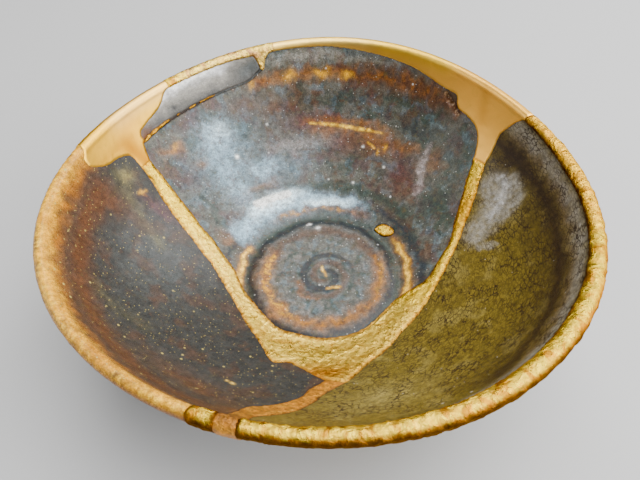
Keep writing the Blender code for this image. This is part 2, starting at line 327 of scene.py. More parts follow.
# The pieces, as the sides that run round them; "-" runs a side backwards
ROUND = {
    "foot_sherd": ("foot_left", "foot_right", "foot_chip", "foot_lip", "foot_neck"),
    "left_sherd": ("left_top", "left_seam", "left_front", "left_chip", "left_lip"),
    "right_sherd": ("right_front", "right_seam", "right_top", "right_lip"),
    "lip_sherd": ("lip_foot", "lip_left", "lip_top"),
    "left_lip_fill": (((131.3, OVER), (147, OVER), (162, OVER)), "left_top", "-foot_neck", "lip_left"),
    "right_lip_fill": (((18, OVER), (60, OVER), (98.8, OVER)), "-foot_right", "right_top"),
    "well_seam": ("foot_left", "-right_seam", "-left_seam"),
    "front_seam": ("left_front", ((250, OVER), (252, OVER), (254, OVER)), "right_front"),
    "right_lip_gilding": (((17.4, OVER), (330, OVER), (290, OVER), (254.2, OVER)), "-right_lip"),
    "back_lip_gilding": (((98.8, OVER), (115, OVER), (131.3, OVER)), "lip_top", "-foot_chip"),
    "front_chip_fill": ("left_chip", ((245, OVER), (247, OVER), (250, OVER))),
    "well_chip_fill": (
        ((41.6, .367), (41.3, .4), (35.4, .411), (29, .416), (29.1, .388), (33.8, .364), (41.6, .367)),
    ),
}
print(len(SIDES), "sides run round", len(ROUND), "pieces")

# %% [markdown]
# ## Broken edges
#
# Fired clay breaks in straight runs with small bites. Each side is followed in short steps, its corners are
# eased and a little noise is added. The noise depends on the place alone, so both pieces at a side get the
# same bites.

# %% Follow a side in short steps and give it small bites
STEP = 0.3
EASING = 5
BITE = 0.1
BITE_SCALE = 0.9
TOUCH = 1e-6


def noise_at(points, scale, seed=0):
    """Smooth noise from -1 to 1 at flat points, with bumps about as wide as the scale."""
    return np.array([noise.noise(Vector((x / scale, y / scale, seed))) for x, y in points])


def noise_pair(points, scale, first, second):
    """Smooth noise at flat points, as two numbers at each, from two seeds."""
    return np.stack((noise_at(points, scale, first), noise_at(points, scale, second)), axis=1)


def on_lip(line):
    """Which flat points lie on the lip."""
    return np.hypot(*line.T) > TIP - TOUCH


def held_at_lip(moved, lip, gap):
    """Moved points, with those of the lip put back on it and the others kept a gap short of it."""
    far = np.hypot(*moved.T)
    return moved * (np.where(lip, TIP, np.minimum(far, TIP - gap)) / far)[:, None]


def followed(side):
    """The side as flat points a short step apart."""
    backwards = isinstance(side, str) and side.startswith("-")
    points = SIDES[side.lstrip("-")] if isinstance(side, str) else side
    line = []
    for (bearing, share), (next_bearing, next_share) in zip(points, points[1:]):
        turn = (next_bearing - bearing + 180) % 360 - 180
        ends = flat_point(bearing, share), flat_point(bearing + turn, next_share)
        length = max(np.linalg.norm(ends[1] - ends[0]), abs(math.radians(turn)) * along_at(min(share, 1)))
        part = np.linspace(0, 1, max(1, math.ceil(length / STEP)), endpoint=False)
        line.append(flat_point(bearing + turn * part, share + (next_share - share) * part))
    line = np.concatenate(line + [flat_point(*points[-1])[None]])
    lip = on_lip(line)
    eased = line.copy()
    for index in range(1, len(line) - 1):
        reach = min(EASING, index, len(line) - 1 - index)
        eased[index] = line[index - reach:index + reach + 1].mean(axis=0)
    eased[lip] = line[lip]
    bitten = held_at_lip(eased + BITE * noise_pair(eased, BITE_SCALE, 1, 2), lip, BITE)
    return bitten[::-1] if backwards else bitten


def bridged(line):
    """The closed line with extra points wherever two neighbours are far apart."""
    points = []
    for point, after in zip(line, np.roll(line, -1, axis=0)):
        count = max(1, math.ceil(np.linalg.norm(after - point) / (1.5 * STEP)))
        points += [point + (after - point) * i / count for i in range(count)]
    return np.array(points)


def closed_round(name):
    """The outline of a piece as flat points, anticlockwise, with none too close together."""
    line = np.concatenate([followed(side) for side in ROUND[name]])
    kept = [line[0]]
    for point in line[1:]:
        if np.linalg.norm(point - kept[-1]) > STEP / 4:
            kept.append(point)
    if np.linalg.norm(kept[-1] - kept[0]) < STEP / 4:
        kept.pop()
    line = bridged(np.array(kept))
    x, y = line.T
    area = (x * np.roll(y, -1) - y * np.roll(x, -1)).sum()
    return line if area > 0 else line[::-1]


print("the foot sherd's outline has", len(closed_round("foot_sherd")), "points")

# %% [markdown]
# ## From an outline to a skin
#
# A piece could be cut from a dense turned cup with Booleans, but they leave long thin faces beside each
# crack. A constrained Delaunay triangulation fills the flat outline with even triangles instead. The same
# outline fills the outside of the piece, and a wall of faces joins the two through the crack, so the skin
# is a closed body.


# %% Fill an outline with even triangles
LIP_GAP = 0.05
GROWN_CLEAR = 0.95
INNER_GAP = 0.6
MERGE = 1e-7


def tree_of(points):
    """A search tree that finds the nearest of some flat points."""
    tree = kdtree.KDTree(len(points))
    for index, (x, y) in enumerate(points):
        tree.insert((x, y, 0), index)
    tree.balance()
    return tree


def distance_to(points, tree):
    """How far each flat point is from the nearest point in the tree."""
    return np.array([tree.find((x, y, 0))[2] for x, y in points])


def grown(line, amount):
    """The closed flat line moved outwards, with points on the lip staying on the lip."""
    along = np.roll(line, -1, axis=0) - np.roll(line, 1, axis=0)
    along /= np.linalg.norm(along, axis=1)[:, None]
    lip = on_lip(line)
    moved = held_at_lip(line + amount * to_the_right(along), lip, LIP_GAP)
    return moved[lip | (distance_to(moved, tree_of(line[~lip])) > GROWN_CLEAR * amount)]


def lattice(line, spacing):
    """Points in even rows of triangles over the box round a line."""
    (left, low), (right, high) = line.min(axis=0), line.max(axis=0)
    row_step = spacing * math.sqrt(3) / 2
    rows = np.arange(low, high, row_step)
    columns = np.arange(left, right, spacing)
    x = columns[None, :] + (np.arange(len(rows)) % 2)[:, None] * spacing / 2
    return np.stack((x, np.broadcast_to(rows[:, None], x.shape)), axis=-1).reshape(-1, 2)


def filled(line, spacing):
    """The outline's own points, then even points inside it, and the triangles between them all."""
    inner = lattice(line, spacing)
    inner = inner[distance_to(inner, tree_of(line)) > INNER_GAP * spacing]
    points = [Vector(point) for point in np.concatenate((line, inner))]
    loop = list(range(len(line)))
    edges = list(zip(loop, loop[1:] + [0]))
    _, _, faces, origin, _, _ = delaunay_2d_cdt(points, edges, [loop], 1, MERGE)
    triangles = np.array([[origin[i][0] for i in face] for face in faces])
    used = np.union1d(loop, triangles)
    renumber = np.full(len(points), -1)
    renumber[used] = np.arange(len(used))
    return np.array([points[i][:] for i in used]), renumber[triangles]


def outside_of(line):
    """Where rays from the eye through the inside at these flat points leave the outside, as flat points."""
    along = np.hypot(*line.T)
    through = OUTSIDE.seen_at(np.interp(along, INSIDE.along, INSIDE.tilt))
    through = np.where(on_lip(line), OUTSIDE.length, through)
    return line * (through / along)[:, None]


print("the small chip fills with", len(filled(closed_round("well_chip_fill"), 0.3)[1]), "triangles")

# %% [markdown]
# ## One function for every skin
#
# The pieces differ only in their outline, in how far they stand proud and in their paint, so one function
# makes them all. Relief is given as heights above the turned form. Colour and gloss are given as values at
# the vertices, which the materials read by name.


# %% Make a skin
SHARP = 55


def tidy(mesh):
    """Drops the spare vertices and shades the mesh smooth, but for its broken edges."""
    form = bmesh.new()
    form.from_mesh(mesh)
    bmesh.ops.delete(form, geom=[v for v in form.verts if not v.link_faces], context="VERTS")
    bmesh.ops.recalc_face_normals(form, faces=form.faces)
    form.to_mesh(mesh)
    form.free()
    mesh.shade_smooth()
    mesh.set_sharp_from_angle(angle=math.radians(SHARP))


def keep_paint(mesh, label, values):
    """Stores values at the vertices under a label: colours have four parts and vectors three."""
    kind, field = ("FLOAT_COLOR", "color") if values.shape[1] == 4 else ("FLOAT_VECTOR", "vector")
    layer = mesh.attributes.new(label, kind, "POINT")
    layer.data.foreach_set(field, values.astype(np.float32).ravel())


def skin(name, line, spacing, outer_spacing, relief, paint, depth=None):
    """A closed mesh of one piece. relief and paint take flat points, the side and the gap to the edge.

    depth makes a piece that only goes that deep into the inside, not through the wall.
    """
    lip = on_lip(line)
    back_line = line if depth else outside_of(line)
    sides = []
    for inside, side_line, step in ((True, line, spacing), (False, back_line, outer_spacing)):
        flat, faces = filled(side_line, step)
        gap = distance_to(flat, tree_of(side_line[~lip]))
        sunk = depth and not inside
        raised = np.full(len(flat), -depth) if sunk else relief(flat, inside, gap)
        at = on_the_cup(INSIDE if inside or depth else OUTSIDE, flat, raised)
        sides.append((faces, at, paint(flat, inside, gap, at)))
    (faces, at, dress), (back_faces, back_at, back_dress) = sides
    count = len(line)
    shift = np.arange(len(back_at)) + len(at)
    shift[:count][lip] = np.arange(count)[lip]
    walls = []
    for i, j in zip(range(count), [*range(1, count), 0]):
        if not (lip[i] and lip[j]):
            walls.append(list(dict.fromkeys((i, shift[i], shift[j], j))))
    mesh = bpy.data.meshes.new(name)
    corners = (np.concatenate((at, back_at)) * METRE).tolist()
    mesh.from_pydata(corners, [], faces.tolist() + shift[back_faces][:, ::-1].tolist() + walls)
    for label in dress:
        keep_paint(mesh, label, np.concatenate((dress[label], back_dress[label])))
    piece = bpy.data.objects.new(name, mesh)
    bpy.context.collection.objects.link(piece)
    tidy(mesh)
    print("%s: %d faces" % (name, len(mesh.polygons)))
    return piece


# %% [markdown]
# ## Where the colours lie
#
# The glaze changed colour in the kiln wherever it ran thick or thin, so its colours belong to places on the
# cup: an amber ring where it thinned over a ridge, a pale bloom on the wall. Some marks are painted light
# instead: highlights, a sheen, a reflection in the gold, and shade on the shelf of the well and on the
# outside of the gilded lip. An image texture could hold them, but here they are soft spots, arcs and
# strokes with ragged edges, stored at the vertices. The materials add the fine grain.

# %% The palette
def tone(red, green, blue):
    """A colour picked on a screen, 0 to 255, as the linear colour that Blender uses."""
    share = np.array((red, green, blue)) / 255
    return np.where(share < 0.04045, share / 12.92, ((share + 0.055) / 1.055) ** 2.4)


SCREEN_TONES = {
    "stone": (84, 84, 76), "slate": (78, 84, 84), "ink": (22, 30, 38), "black": (14, 15, 18),
    "teal": (44, 58, 50), "blue": (92, 118, 132), "bloom_and_sheen": (154, 186, 204), "ice": (220, 246, 255),
    "rust": (140, 84, 16), "amber": (216, 158, 22), "straw": (252, 206, 86), "plum": (76, 46, 50),
    "lilac": (150, 140, 138), "brown": (84, 50, 26), "umber": (40, 26, 16), "smoke": (46, 46, 44),
    "moss": (84, 78, 48), "olive": (104, 88, 26), "sand": (156, 140, 76), "pewter": (146, 142, 132),
    "silver": (232, 234, 240), "white": (250, 250, 244), "clay": (176, 146, 112), "pale": (255, 214, 58),
    "warm": (255, 192, 56), "tan": (255, 196, 84), "deep": (186, 112, 10), "green": (156, 142, 34),
    "russet": (86, 42, 14), "honey": (226, 166, 30), "butter": (255, 208, 60), "lacquer": (200, 130, 22),
    "sienna": (178, 114, 4),
}
TONES = {name: tone(*screen) for name, screen in SCREEN_TONES.items()}
print(len(TONES), "tones mixed")


# %% Soft shapes on the flat map
SHAKES = ((1.0, 2.6, 11, 18), (0.45, 0.8, 12, 19))


def ragged(flat):
    """The flat points pushed about, so that what is drawn on them gets ragged edges."""
    return flat + sum(far * noise_pair(flat, scale, *seeds) for far, scale, *seeds in SHAKES)


def fade(values, low, high):
    """0 below low, 1 above high and a smooth slope between."""
    part = np.clip((values - low) / (high - low), 0, 1)
    return part * part * (3 - 2 * part)


def turn_and_share(flat):
    """The bearing in degrees and the share of the rim's radius at flat points."""
    along, turn = polar(flat)
    return np.degrees(turn), np.interp(along, INSIDE.along, INSIDE.points[:, 0]) / RIM_RADIUS


def spot(flat, bearing, share, across, along, lean=0):
    """How strongly a soft spot shows at each point. It is across wide and along long, in half widths."""
    turn = math.radians(bearing + lean)
    offset = flat - flat_point(bearing, share)
    downhill = offset @ np.array((math.cos(turn), math.sin(turn)))
    sideways = offset @ np.array((-math.sin(turn), math.cos(turn)))
    return np.exp(-(downhill / along) ** 2 - (sideways / across) ** 2)


def sector(flat, start, end, soft):
    """1 at the bearings from start on to end, and a soft fade at both."""
    bearing, _ = turn_and_share(flat)
    reach = (end - start) % 360 / 2
    aside = np.abs((bearing - start - reach + 180) % 360 - 180)
    return 1 - fade(aside, reach - soft / 2, reach + soft / 2)


def arc(flat, share, width, start=0, end=359.9, soft=8):
    """How strongly a soft band round the cup shows, from one bearing on to another."""
    along = np.hypot(*flat.T) - along_at(share)
    return np.exp(-(along / width) ** 2) * sector(flat, start, end, soft)


def stroke(flat, width, *ends):
    """How strongly a thin stroke shows that runs from one place to the next."""
    points = [flat_point(*end) for end in ends]
    nearest = np.full(len(flat), np.inf)
    for a, b in zip(points, points[1:]):
        part = np.clip((flat - a) @ (b - a) / ((b - a) @ (b - a)), 0, 1)
        nearest = np.minimum(nearest, np.hypot(*(flat - a - part[:, None] * (b - a)).T))
    return np.exp(-(nearest / width) ** 2)


def patches(flat, scale, seed, cover=0.0):
    """Clouds of the given size, from 0 to 1; a lower cover leaves fewer of them."""
    clouds = noise_at(flat, scale, seed) + 0.4 * noise_at(flat, scale / 3, seed + 1)
    return fade(clouds, -cover, 0.35 - cover)


def painted(flat, base, marks):
    """Colours at flat points: a base under marks, each of them a tone, a strength and a soft shape."""
    colour = np.tile(TONES[base], (len(flat), 1))
    for name, strength, shape in marks:
        part = np.clip(strength * shape, 0, 1)[:, None]
        colour = colour * (1 - part) + TONES[name] * part
    return colour


def with_alpha(colour):
    """Colours with a fourth part, which stays 1."""
    return np.concatenate((colour, np.ones((len(colour), 1))), axis=1)


up_the_wall = spot(flat_point(90, 0.52)[None], 90, 0.5, 1, 1)
print("a spot fades to", up_the_wall.round(2), "one millimetre up the wall")

# %% [markdown]
# ## Short ways to mix a finish
#
# Every finish is a node tree that ends in a Principled shader. The class below adds the few kinds of node
# that the finishes share. Texture sizes are in millimetres, because the object's own coordinates are scaled
# up first.


# %% A finish and its nodes
class Finish:
    """A material, with short ways to add its nodes."""

    def __init__(self, name, **plain):
        self.material = bpy.data.materials.new(name)
        self.material.use_nodes = True
        self.tree = self.material.node_tree
        self.shader = self.tree.nodes["Principled BSDF"]
        self.ends_in(**plain)
        place = self.add("TexCoord").outputs["Object"]
        self.place = self.add("VectorMath", {0: place, "Scale": 1 / METRE}, operation="SCALE").outputs[0]

    def add(self, kind, sockets=None, **settings):
        """A node with its settings, and with values or other nodes' outputs in its sockets."""
        node = self.tree.nodes.new("ShaderNode" + kind)
        for setting, value in settings.items():
            setattr(node, setting, value)
        for socket, value in (sockets or {}).items():
            self.feed(node.inputs[socket], value)
        return node

    def feed(self, socket, value):
        """Links another node's output to a socket, or sets its value."""
        if isinstance(value, bpy.types.NodeSocket):
            self.tree.links.new(value, socket)
        else:
            socket.default_value = value

    def ends_in(self, **fed):
        """Puts values or outputs into the shader's sockets."""
        for socket, value in fed.items():
            self.feed(self.shader.inputs[socket.replace("_", " ")], value)

    def attribute(self, name, output="Vector"):
        """What was stored at the vertices under a name."""
        return self.add("Attribute", attribute_name=name).outputs[output]

    def parts(self, vector):
        """The three parts of a vector or a colour."""
        return self.add("SeparateXYZ", {0: vector}).outputs

    def noise(self, size, place=None, detail=4.0, rough=0.55, twist=0.0):
        """Cloudy noise with clouds about as wide as size, in millimetres."""
        sockets = {"Vector": place or self.place, "Scale": 1 / size, "Detail": detail, "Roughness": rough}
        return self.add("TexNoise", sockets | {"Distortion": twist}).outputs["Fac"]

    def cells(self, size, feature="F1", place=None):
        """A Voronoi texture with cells about as wide as size."""
        return self.add("TexVoronoi", {"Vector": place or self.place, "Scale": 1 / size}, feature=feature)

    def between(self, value, low, high, bottom=0.0, top=1.0):
        """The value stretched so that low becomes bottom and high becomes top, with the ends cut off."""
        sockets = {"Value": value, "From Min": low, "From Max": high, "To Min": bottom, "To Max": top}
        return self.add("MapRange", sockets).outputs[0]

    def sum(self, operation, a, b):
        """Two values put together by a kind of sum, such as ADD."""
        return self.add("Math", {0: a, 1: b}, operation=operation).outputs[0]

    def mixed(self, share, a, b, way="MIX"):
        """One colour laid over another: none of b at share 0 and all of it at 1."""
        node = self.add("Mix", {0: share, 6: a, 7: b}, data_type="RGBA", blend_type=way)
        return node.outputs[2]

    def raised(self, height, far):
        """A bump from a height of 0 to 1 that stands for far millimetres."""
        return self.add("Bump", {"Height": height, "Distance": far * METRE}).outputs[0]

    def specks(self, size, share):
        """Small round dots, 0 or 1, one in some of the cells of a Voronoi texture."""
        cell = self.cells(size)
        chosen = self.between(self.parts(cell.outputs["Color"])[0], 1 - share, 1.002 - share)
        return self.sum("MULTIPLY", self.between(cell.outputs["Distance"], 0.08, 0.24, 1.0, 0.0), chosen)


def opaque(colour):
    """A colour with a fourth part of 1."""
    return (*colour, 1.0)


# %% [markdown]
# ## Glazes
#
# The glaze of the first pot is an iron glaze: dark, with blue and rust clouds, short streaks where it ran,
# and pale pinholes. It is glassy, so a thin clear coat lies over a duller ground. The vertices say what
# colour lies where, and cloudy noise of three sizes and small dots add streaks, grain and specks. Where the
# finish says clay, the ground is bare and matt. The olive glaze has a net of fine cracks, the edges of
# stretched Voronoi cells.


# %% The glazes
def glaze(name, streak, mottle, drift, specks_in, speck_tone, coat, crackle=0.0):
    """A glazed surface that takes its colours from the vertices."""
    mix = Finish(name, Coat_Roughness=0.16, Specular_IOR_Level=0.22)
    gloss, specks, clay = mix.parts(mix.attribute("finish"))[:3]
    run = mix.attribute("run")
    streaks = mix.noise(1.6, run, detail=7.0, rough=0.65, twist=0.5)
    clouds = mix.noise(0.9, detail=5.0, rough=0.6)
    grains = mix.noise(0.26, detail=3.0, rough=0.8)
    shade = mix.between(streaks, 0.36, 0.64, 1 - streak, 1 + streak)
    for texture, low, depth in ((clouds, 0.34, mottle), (grains, 0.38, 1.3 * mottle)):
        shade = mix.sum("MULTIPLY", shade, mix.between(texture, low, 1 - low, 1 - depth, 1 + depth))
    colour = mix.mixed(1.0, mix.attribute("paint", "Color"), shade, "MULTIPLY")
    for size, colour_name in ((1.5, "ink"), (1.2, "brown"), (1.1, "moss")):
        patch = mix.between(mix.noise(size, detail=6.0, rough=0.7), 0.55, 0.66, 0.0, drift)
        colour = mix.mixed(patch, colour, opaque(TONES[colour_name]))
    relief = mix.sum("ADD", mix.sum("MULTIPLY", streaks, 0.5), mix.sum("MULTIPLY", grains, 0.5))
    if crackle:
        shift = mix.add("TexNoise", {"Vector": run, "Scale": 1.1}).outputs["Color"]
        bent = mix.add("VectorMath", {0: run, 1: shift}, operation="ADD").outputs[0]
        net = mix.cells(1.2, "DISTANCE_TO_EDGE", bent).outputs["Distance"]
        shown = mix.between(mix.noise(3.0, detail=3.0), 0.38, 0.6, 0.25, crackle)
        lines = mix.between(net, 0.02, 0.13, 1.0, 0.0)
        cracks = mix.sum("MULTIPLY", lines, mix.sum("MULTIPLY", shown, specks))
        colour = mix.mixed(cracks, colour, opaque(TONES["umber"]))
    dots = mix.sum("MAXIMUM", mix.specks(0.5, specks_in), mix.specks(1.3, specks_in * 0.3))
    dots = mix.sum("MULTIPLY", dots, mix.sum("MULTIPLY", specks, 0.9))
    colour = mix.mixed(dots, colour, opaque(speck_tone))
    colour = mix.mixed(clay, colour, mix.mixed(grains, opaque(TONES["clay"] * 0.6), opaque(TONES["clay"])))
    rough = mix.sum("ADD", gloss, mix.between(grains, 0.3, 0.7, -0.08, 0.08))
    mix.ends_in(Base_Color=colour, Roughness=rough, Coat_Weight=mix.between(gloss, 0.45, 0.7, coat, 0.0),
                Normal=mix.raised(relief, 0.1))
    return mix.material


PALE_SPECK = TONES["white"] * 0.6
MATERIALS = {
    "mottled_glaze": glaze("mottled iron glaze", 0.25, 0.28, 0.5, 0.12, PALE_SPECK, 0.12),
    "dark_glaze": glaze("dark brown glaze", 0.22, 0.22, 0.25, 0.3, TONES["sand"] * 1.3, 0.1),
    "olive_glaze": glaze("olive glaze", 0.22, 0.2, 0.0, 0.02, PALE_SPECK, 0.15, 1.0),
    "grey_glaze": glaze("grey glaze", 0.2, 0.1, 0.0, 0.04, PALE_SPECK, 0.3),
}
print(len(MATERIALS), "glazes")

# %% [markdown]
# ## Gold and lacquer
#
# Two kinds of gold show. The big patches are lacquer polished flat before the gold went on, so they are
# satin. The seams were left as the lacquer lay, with gold powder on its lumps. Both are metal all over, so
# a full Metallic value fits, and only the roughness and the relief differ. The front seam was hardly
# gilded: warm lacquer shows there.


# %% The golds and the lacquer
def gold(name, lump_size, lump_height, roughness, spread, grain_size, worn):
    """Gold powder on lacquer: its colour comes from the vertices, its sparkle from fine grain."""
    mix = Finish(name, Metallic=1.0, Specular_Tint=opaque(TONES["straw"]))
    grain = mix.noise(grain_size, detail=6.0, rough=0.75)
    lumps = mix.noise(lump_size, detail=6.0, rough=0.6, twist=0.8)
    shade = mix.between(grain, 0.34, 0.66, 1 - worn * 0.5, 1 + worn * 0.2)
    colour = mix.mixed(1.0, mix.attribute("paint", "Color"), shade, "MULTIPLY")
    pits = mix.between(lumps, 0.32, 0.42, worn, 0.0)
    colour = mix.mixed(pits, colour, opaque(TONES["deep"] * 0.5))
    rough = mix.between(lumps, 0.4, 0.62, roughness + spread, roughness - spread)
    height = mix.sum("ADD", mix.sum("MULTIPLY", lumps, 0.88), mix.sum("MULTIPLY", grain, 0.12))
    mix.ends_in(Base_Color=colour, Roughness=rough, Normal=mix.raised(height, lump_height))
    return mix.material


def lacquer(name):
    """Warm brown lacquer with a little gold in it."""
    mix = Finish(name, Coat_Weight=0.1, Coat_Roughness=0.25, Metallic=0.6)
    clouds = mix.noise(0.8, detail=6.0, rough=0.7)
    shade = mix.between(clouds, 0.32, 0.68, 0.4, 1.4)
    colour = mix.mixed(1.0, mix.attribute("paint", "Color"), shade, "MULTIPLY")
    mix.ends_in(Base_Color=colour, Roughness=mix.between(clouds, 0.3, 0.7, 0.35, 0.55),
                Normal=mix.raised(mix.noise(0.6, detail=6.0, rough=0.6), 0.4))
    return mix.material


MATERIALS["satin_gold"] = gold("satin gold", 2.5, 0.04, 0.44, 0.03, 0.12, 0.1)
MATERIALS["rough_gold"] = gold("rough gold", 1.1, 0.5, 0.34, 0.12, 0.2, 0.35)
MATERIALS["orange_lacquer"] = lacquer("orange lacquer")
print(len(MATERIALS), "finishes in all")

# %% [markdown]
# ## Throwing rings and sagging glaze
#
# The potter's fingers left faint rings on the wall and a spiral in the middle of the well. The glaze
# softened both and drew back a little from every broken edge. These are real heights on the skins, so that
# the light bends over them from any side.

# %% The relief of the sherds
RING_GAP = 3.6
RING_HEIGHT = 0.015
SPIRAL_HEIGHT = 0.09
SPIRAL_GAP = 4.2
WELL_CENTRE = flat_point(0, 0.013)
CHIP_DEPTH = 0.9
EDGE_FALL = 0.06


def thrown(flat):
    """The height of the throwing rings and the spiral at flat points on the inside."""
    along = np.hypot(*flat.T)
    wander = 0.8 * noise_at(flat, 14, 3)
    rings = RING_HEIGHT * np.cos(2 * math.pi * (along + wander) / RING_GAP)
    rings *= fade(along, along_at(0.5), along_at(0.6)) * (1 - fade(along, along_at(0.85), along_at(0.95)))
    out, turn = polar(flat - WELL_CENTRE)
    spiral = SPIRAL_HEIGHT * np.cos(2 * math.pi * out / SPIRAL_GAP + turn)
    spiral *= fade(out, 0.3, 1.5) * (1 - 0.8 * fade(out, along_at(0.1), along_at(0.16)))
    spiral *= 1 - fade(out, along_at(0.22), along_at(0.27))
    return rings + spiral


def sherd_relief(flat, inside, gap):
    """The heights of a glazed sherd: rings, slow unevenness and glaze that thins towards the break."""
    end = TIP if inside else OUTSIDE.length
    far = np.hypot(*flat.T)
    uneven = 0.1 * noise_at(flat, 9, 4) + 0.035 * noise_at(flat, 2.2, 5) + 0.02 * noise_at(flat, 0.8, 6)
    raised = uneven * (1 - fade(far, end - 6, end - 1)) - EDGE_FALL * np.exp(-gap / 0.25)
    high = np.interp(far, OUTSIDE.along, OUTSIDE.points[:, 1])
    return raised + thrown(flat) if inside else raised * fade(high, 0.3, 2)


along_the_inside = flat_point(90, np.linspace(0, 1, 400))
print("the rings stand %.2f mm high" % np.ptp(thrown(along_the_inside)))

# %% [markdown]
# ## The foot sherd
#
# The biggest sherd holds the whole well, the foot and the back wall. Its glaze is blue-grey with rust where
# it ran thin: a rust band under the lip, an amber line half way down, amber arcs on the ridge of the well
# and a pale bloom, brightened by a painted highlight. The shelf of the well carries painted highlights at
# the back and painted shade at the sides. One flake of glaze is missing at its right corner, and a small
# chip beside the ridge is filled with gold.


# %% The foot sherd's colours
def wall_marks(flat):
    """The clouds and bands on the back wall, from the lowest layer up."""
    at = ragged(flat)
    streaks = 0.75 + 0.5 * noise_at(at, 1.5, 21)
    blots = spot(at, 95, 0.9, 1.6, 0.9) + spot(at, 85, 0.9, 2.0, 0.9) + spot(at, 77, 0.895, 1.6, 0.7)
    return [
        ("teal", 0.75, patches(at, 5, 22)), ("brown", 0.55, patches(at, 4, 24, -0.1)),
        ("plum", 0.5, patches(at, 3.6, 26, -0.15)), ("blue", 0.35, patches(at, 2.6, 28, -0.1)),
        ("teal", 0.7, spot(at, 40, 0.78, 14, 4) * streaks), ("teal", 0.7, spot(at, 25, 0.62, 3.5, 8)),
        ("ink", 0.7, spot(at, 50, 0.8, 6, 1.5) * streaks),
        ("ink", 0.5, spot(at, 75, 0.84, 8, 1.6) * streaks), ("plum", 0.75, spot(at, 90, 0.76, 8, 2.6)),
        ("plum", 0.8, spot(at, 78, 0.68, 3, 2)), ("brown", 0.6, spot(at, 100, 0.83, 9, 2.5)),
        ("plum", 0.7, spot(at, 48, 0.63, 4, 4.5)), ("plum", 0.8, spot(at, 131, 0.875, 3.2, 1.6)),
        ("plum", 0.5, spot(at, 142, 0.74, 3, 3)), ("rust", 0.85, arc(at, 0.9, 1.3, 76, 108) * streaks),
        ("brown", 0.85, arc(at, 0.9, 2.4, 36, 78)),
        ("rust", 0.5, arc(at, 0.905, 1.6, 46, 78) * patches(at, 2, 30, 0.1)),
        ("amber", 0.75, blots),
        ("amber", 0.6, spot(at, 107.5, 0.897, 0.7, 0.6)), ("pewter", 0.55, arc(at, 0.935, 1.1, 62, 102)),
        ("slate", 0.8, arc(at, 0.94, 1.0, 48, 80)), ("brown", 0.6, spot(at, 114, 0.86, 5, 1.5)),
        ("rust", 0.6, arc(at, 0.735, 1.7, 58, 90) * streaks),
        ("rust", 0.6, arc(at, 0.768, 0.7, 60, 93) * streaks),
        ("rust", 0.8, spot(at, 60, 0.7, 4.5, 1.8) * streaks), ("brown", 0.75, spot(at, 70, 0.68, 6, 2.2)),
        ("rust", 0.6, spot(at, 49, 0.73, 4, 1.0) * streaks), ("brown", 0.6, spot(at, 44, 0.56, 3, 5)),
        ("rust", 0.4, spot(at, 38, 0.72, 2, 3)), ("blue", 0.8, spot(at, 126, 0.72, 10, 7, 12) * streaks),
        ("blue", 0.75, spot(at, 106, 0.6, 9, 3.5) * streaks),
        # The pale blue bloom on the wall is partly the glaze's own colour and partly a painted highlight;
        # the icy spot in it is its brightest painted part.
        ("bloom_and_sheen", 0.95, spot(at, 125, 0.8, 4.2, 3.6, -20) * streaks),
        ("ice", 0.55, spot(at, 123, 0.82, 2.2, 1.8) * streaks),
        ("bloom_and_sheen", 0.7, spot(at, 128, 0.7, 3, 4) * streaks),
        ("bloom_and_sheen", 0.95, spot(at, 113, 0.62, 3.4, 2.4) * streaks),
        ("bloom_and_sheen", 0.7, spot(at, 129, 0.58, 3, 3) * streaks), ("lilac", 0.5, spot(at, 96, 0.68, 8, 1.8)),
        ("rust", 0.5, stroke(at, 1.0, (144, 0.85), (137, 0.83))),
        ("amber", 0.45, spot(at, 139.5, 0.84, 1.0, 0.6)), ("rust", 0.4, spot(at, 135, 0.75, 1.6, 1.2)),
        ("rust", 0.45, spot(at, 118, 0.56, 4, 1.0)), ("rust", 0.5, spot(at, 153, 0.47, 1.4, 2)),
        ("lilac", 0.9, stroke(at, 0.7, (43, 0.77), (40, 0.69), (36, 0.6)) * (0.5 + patches(at, 1.2, 31))),
    ]


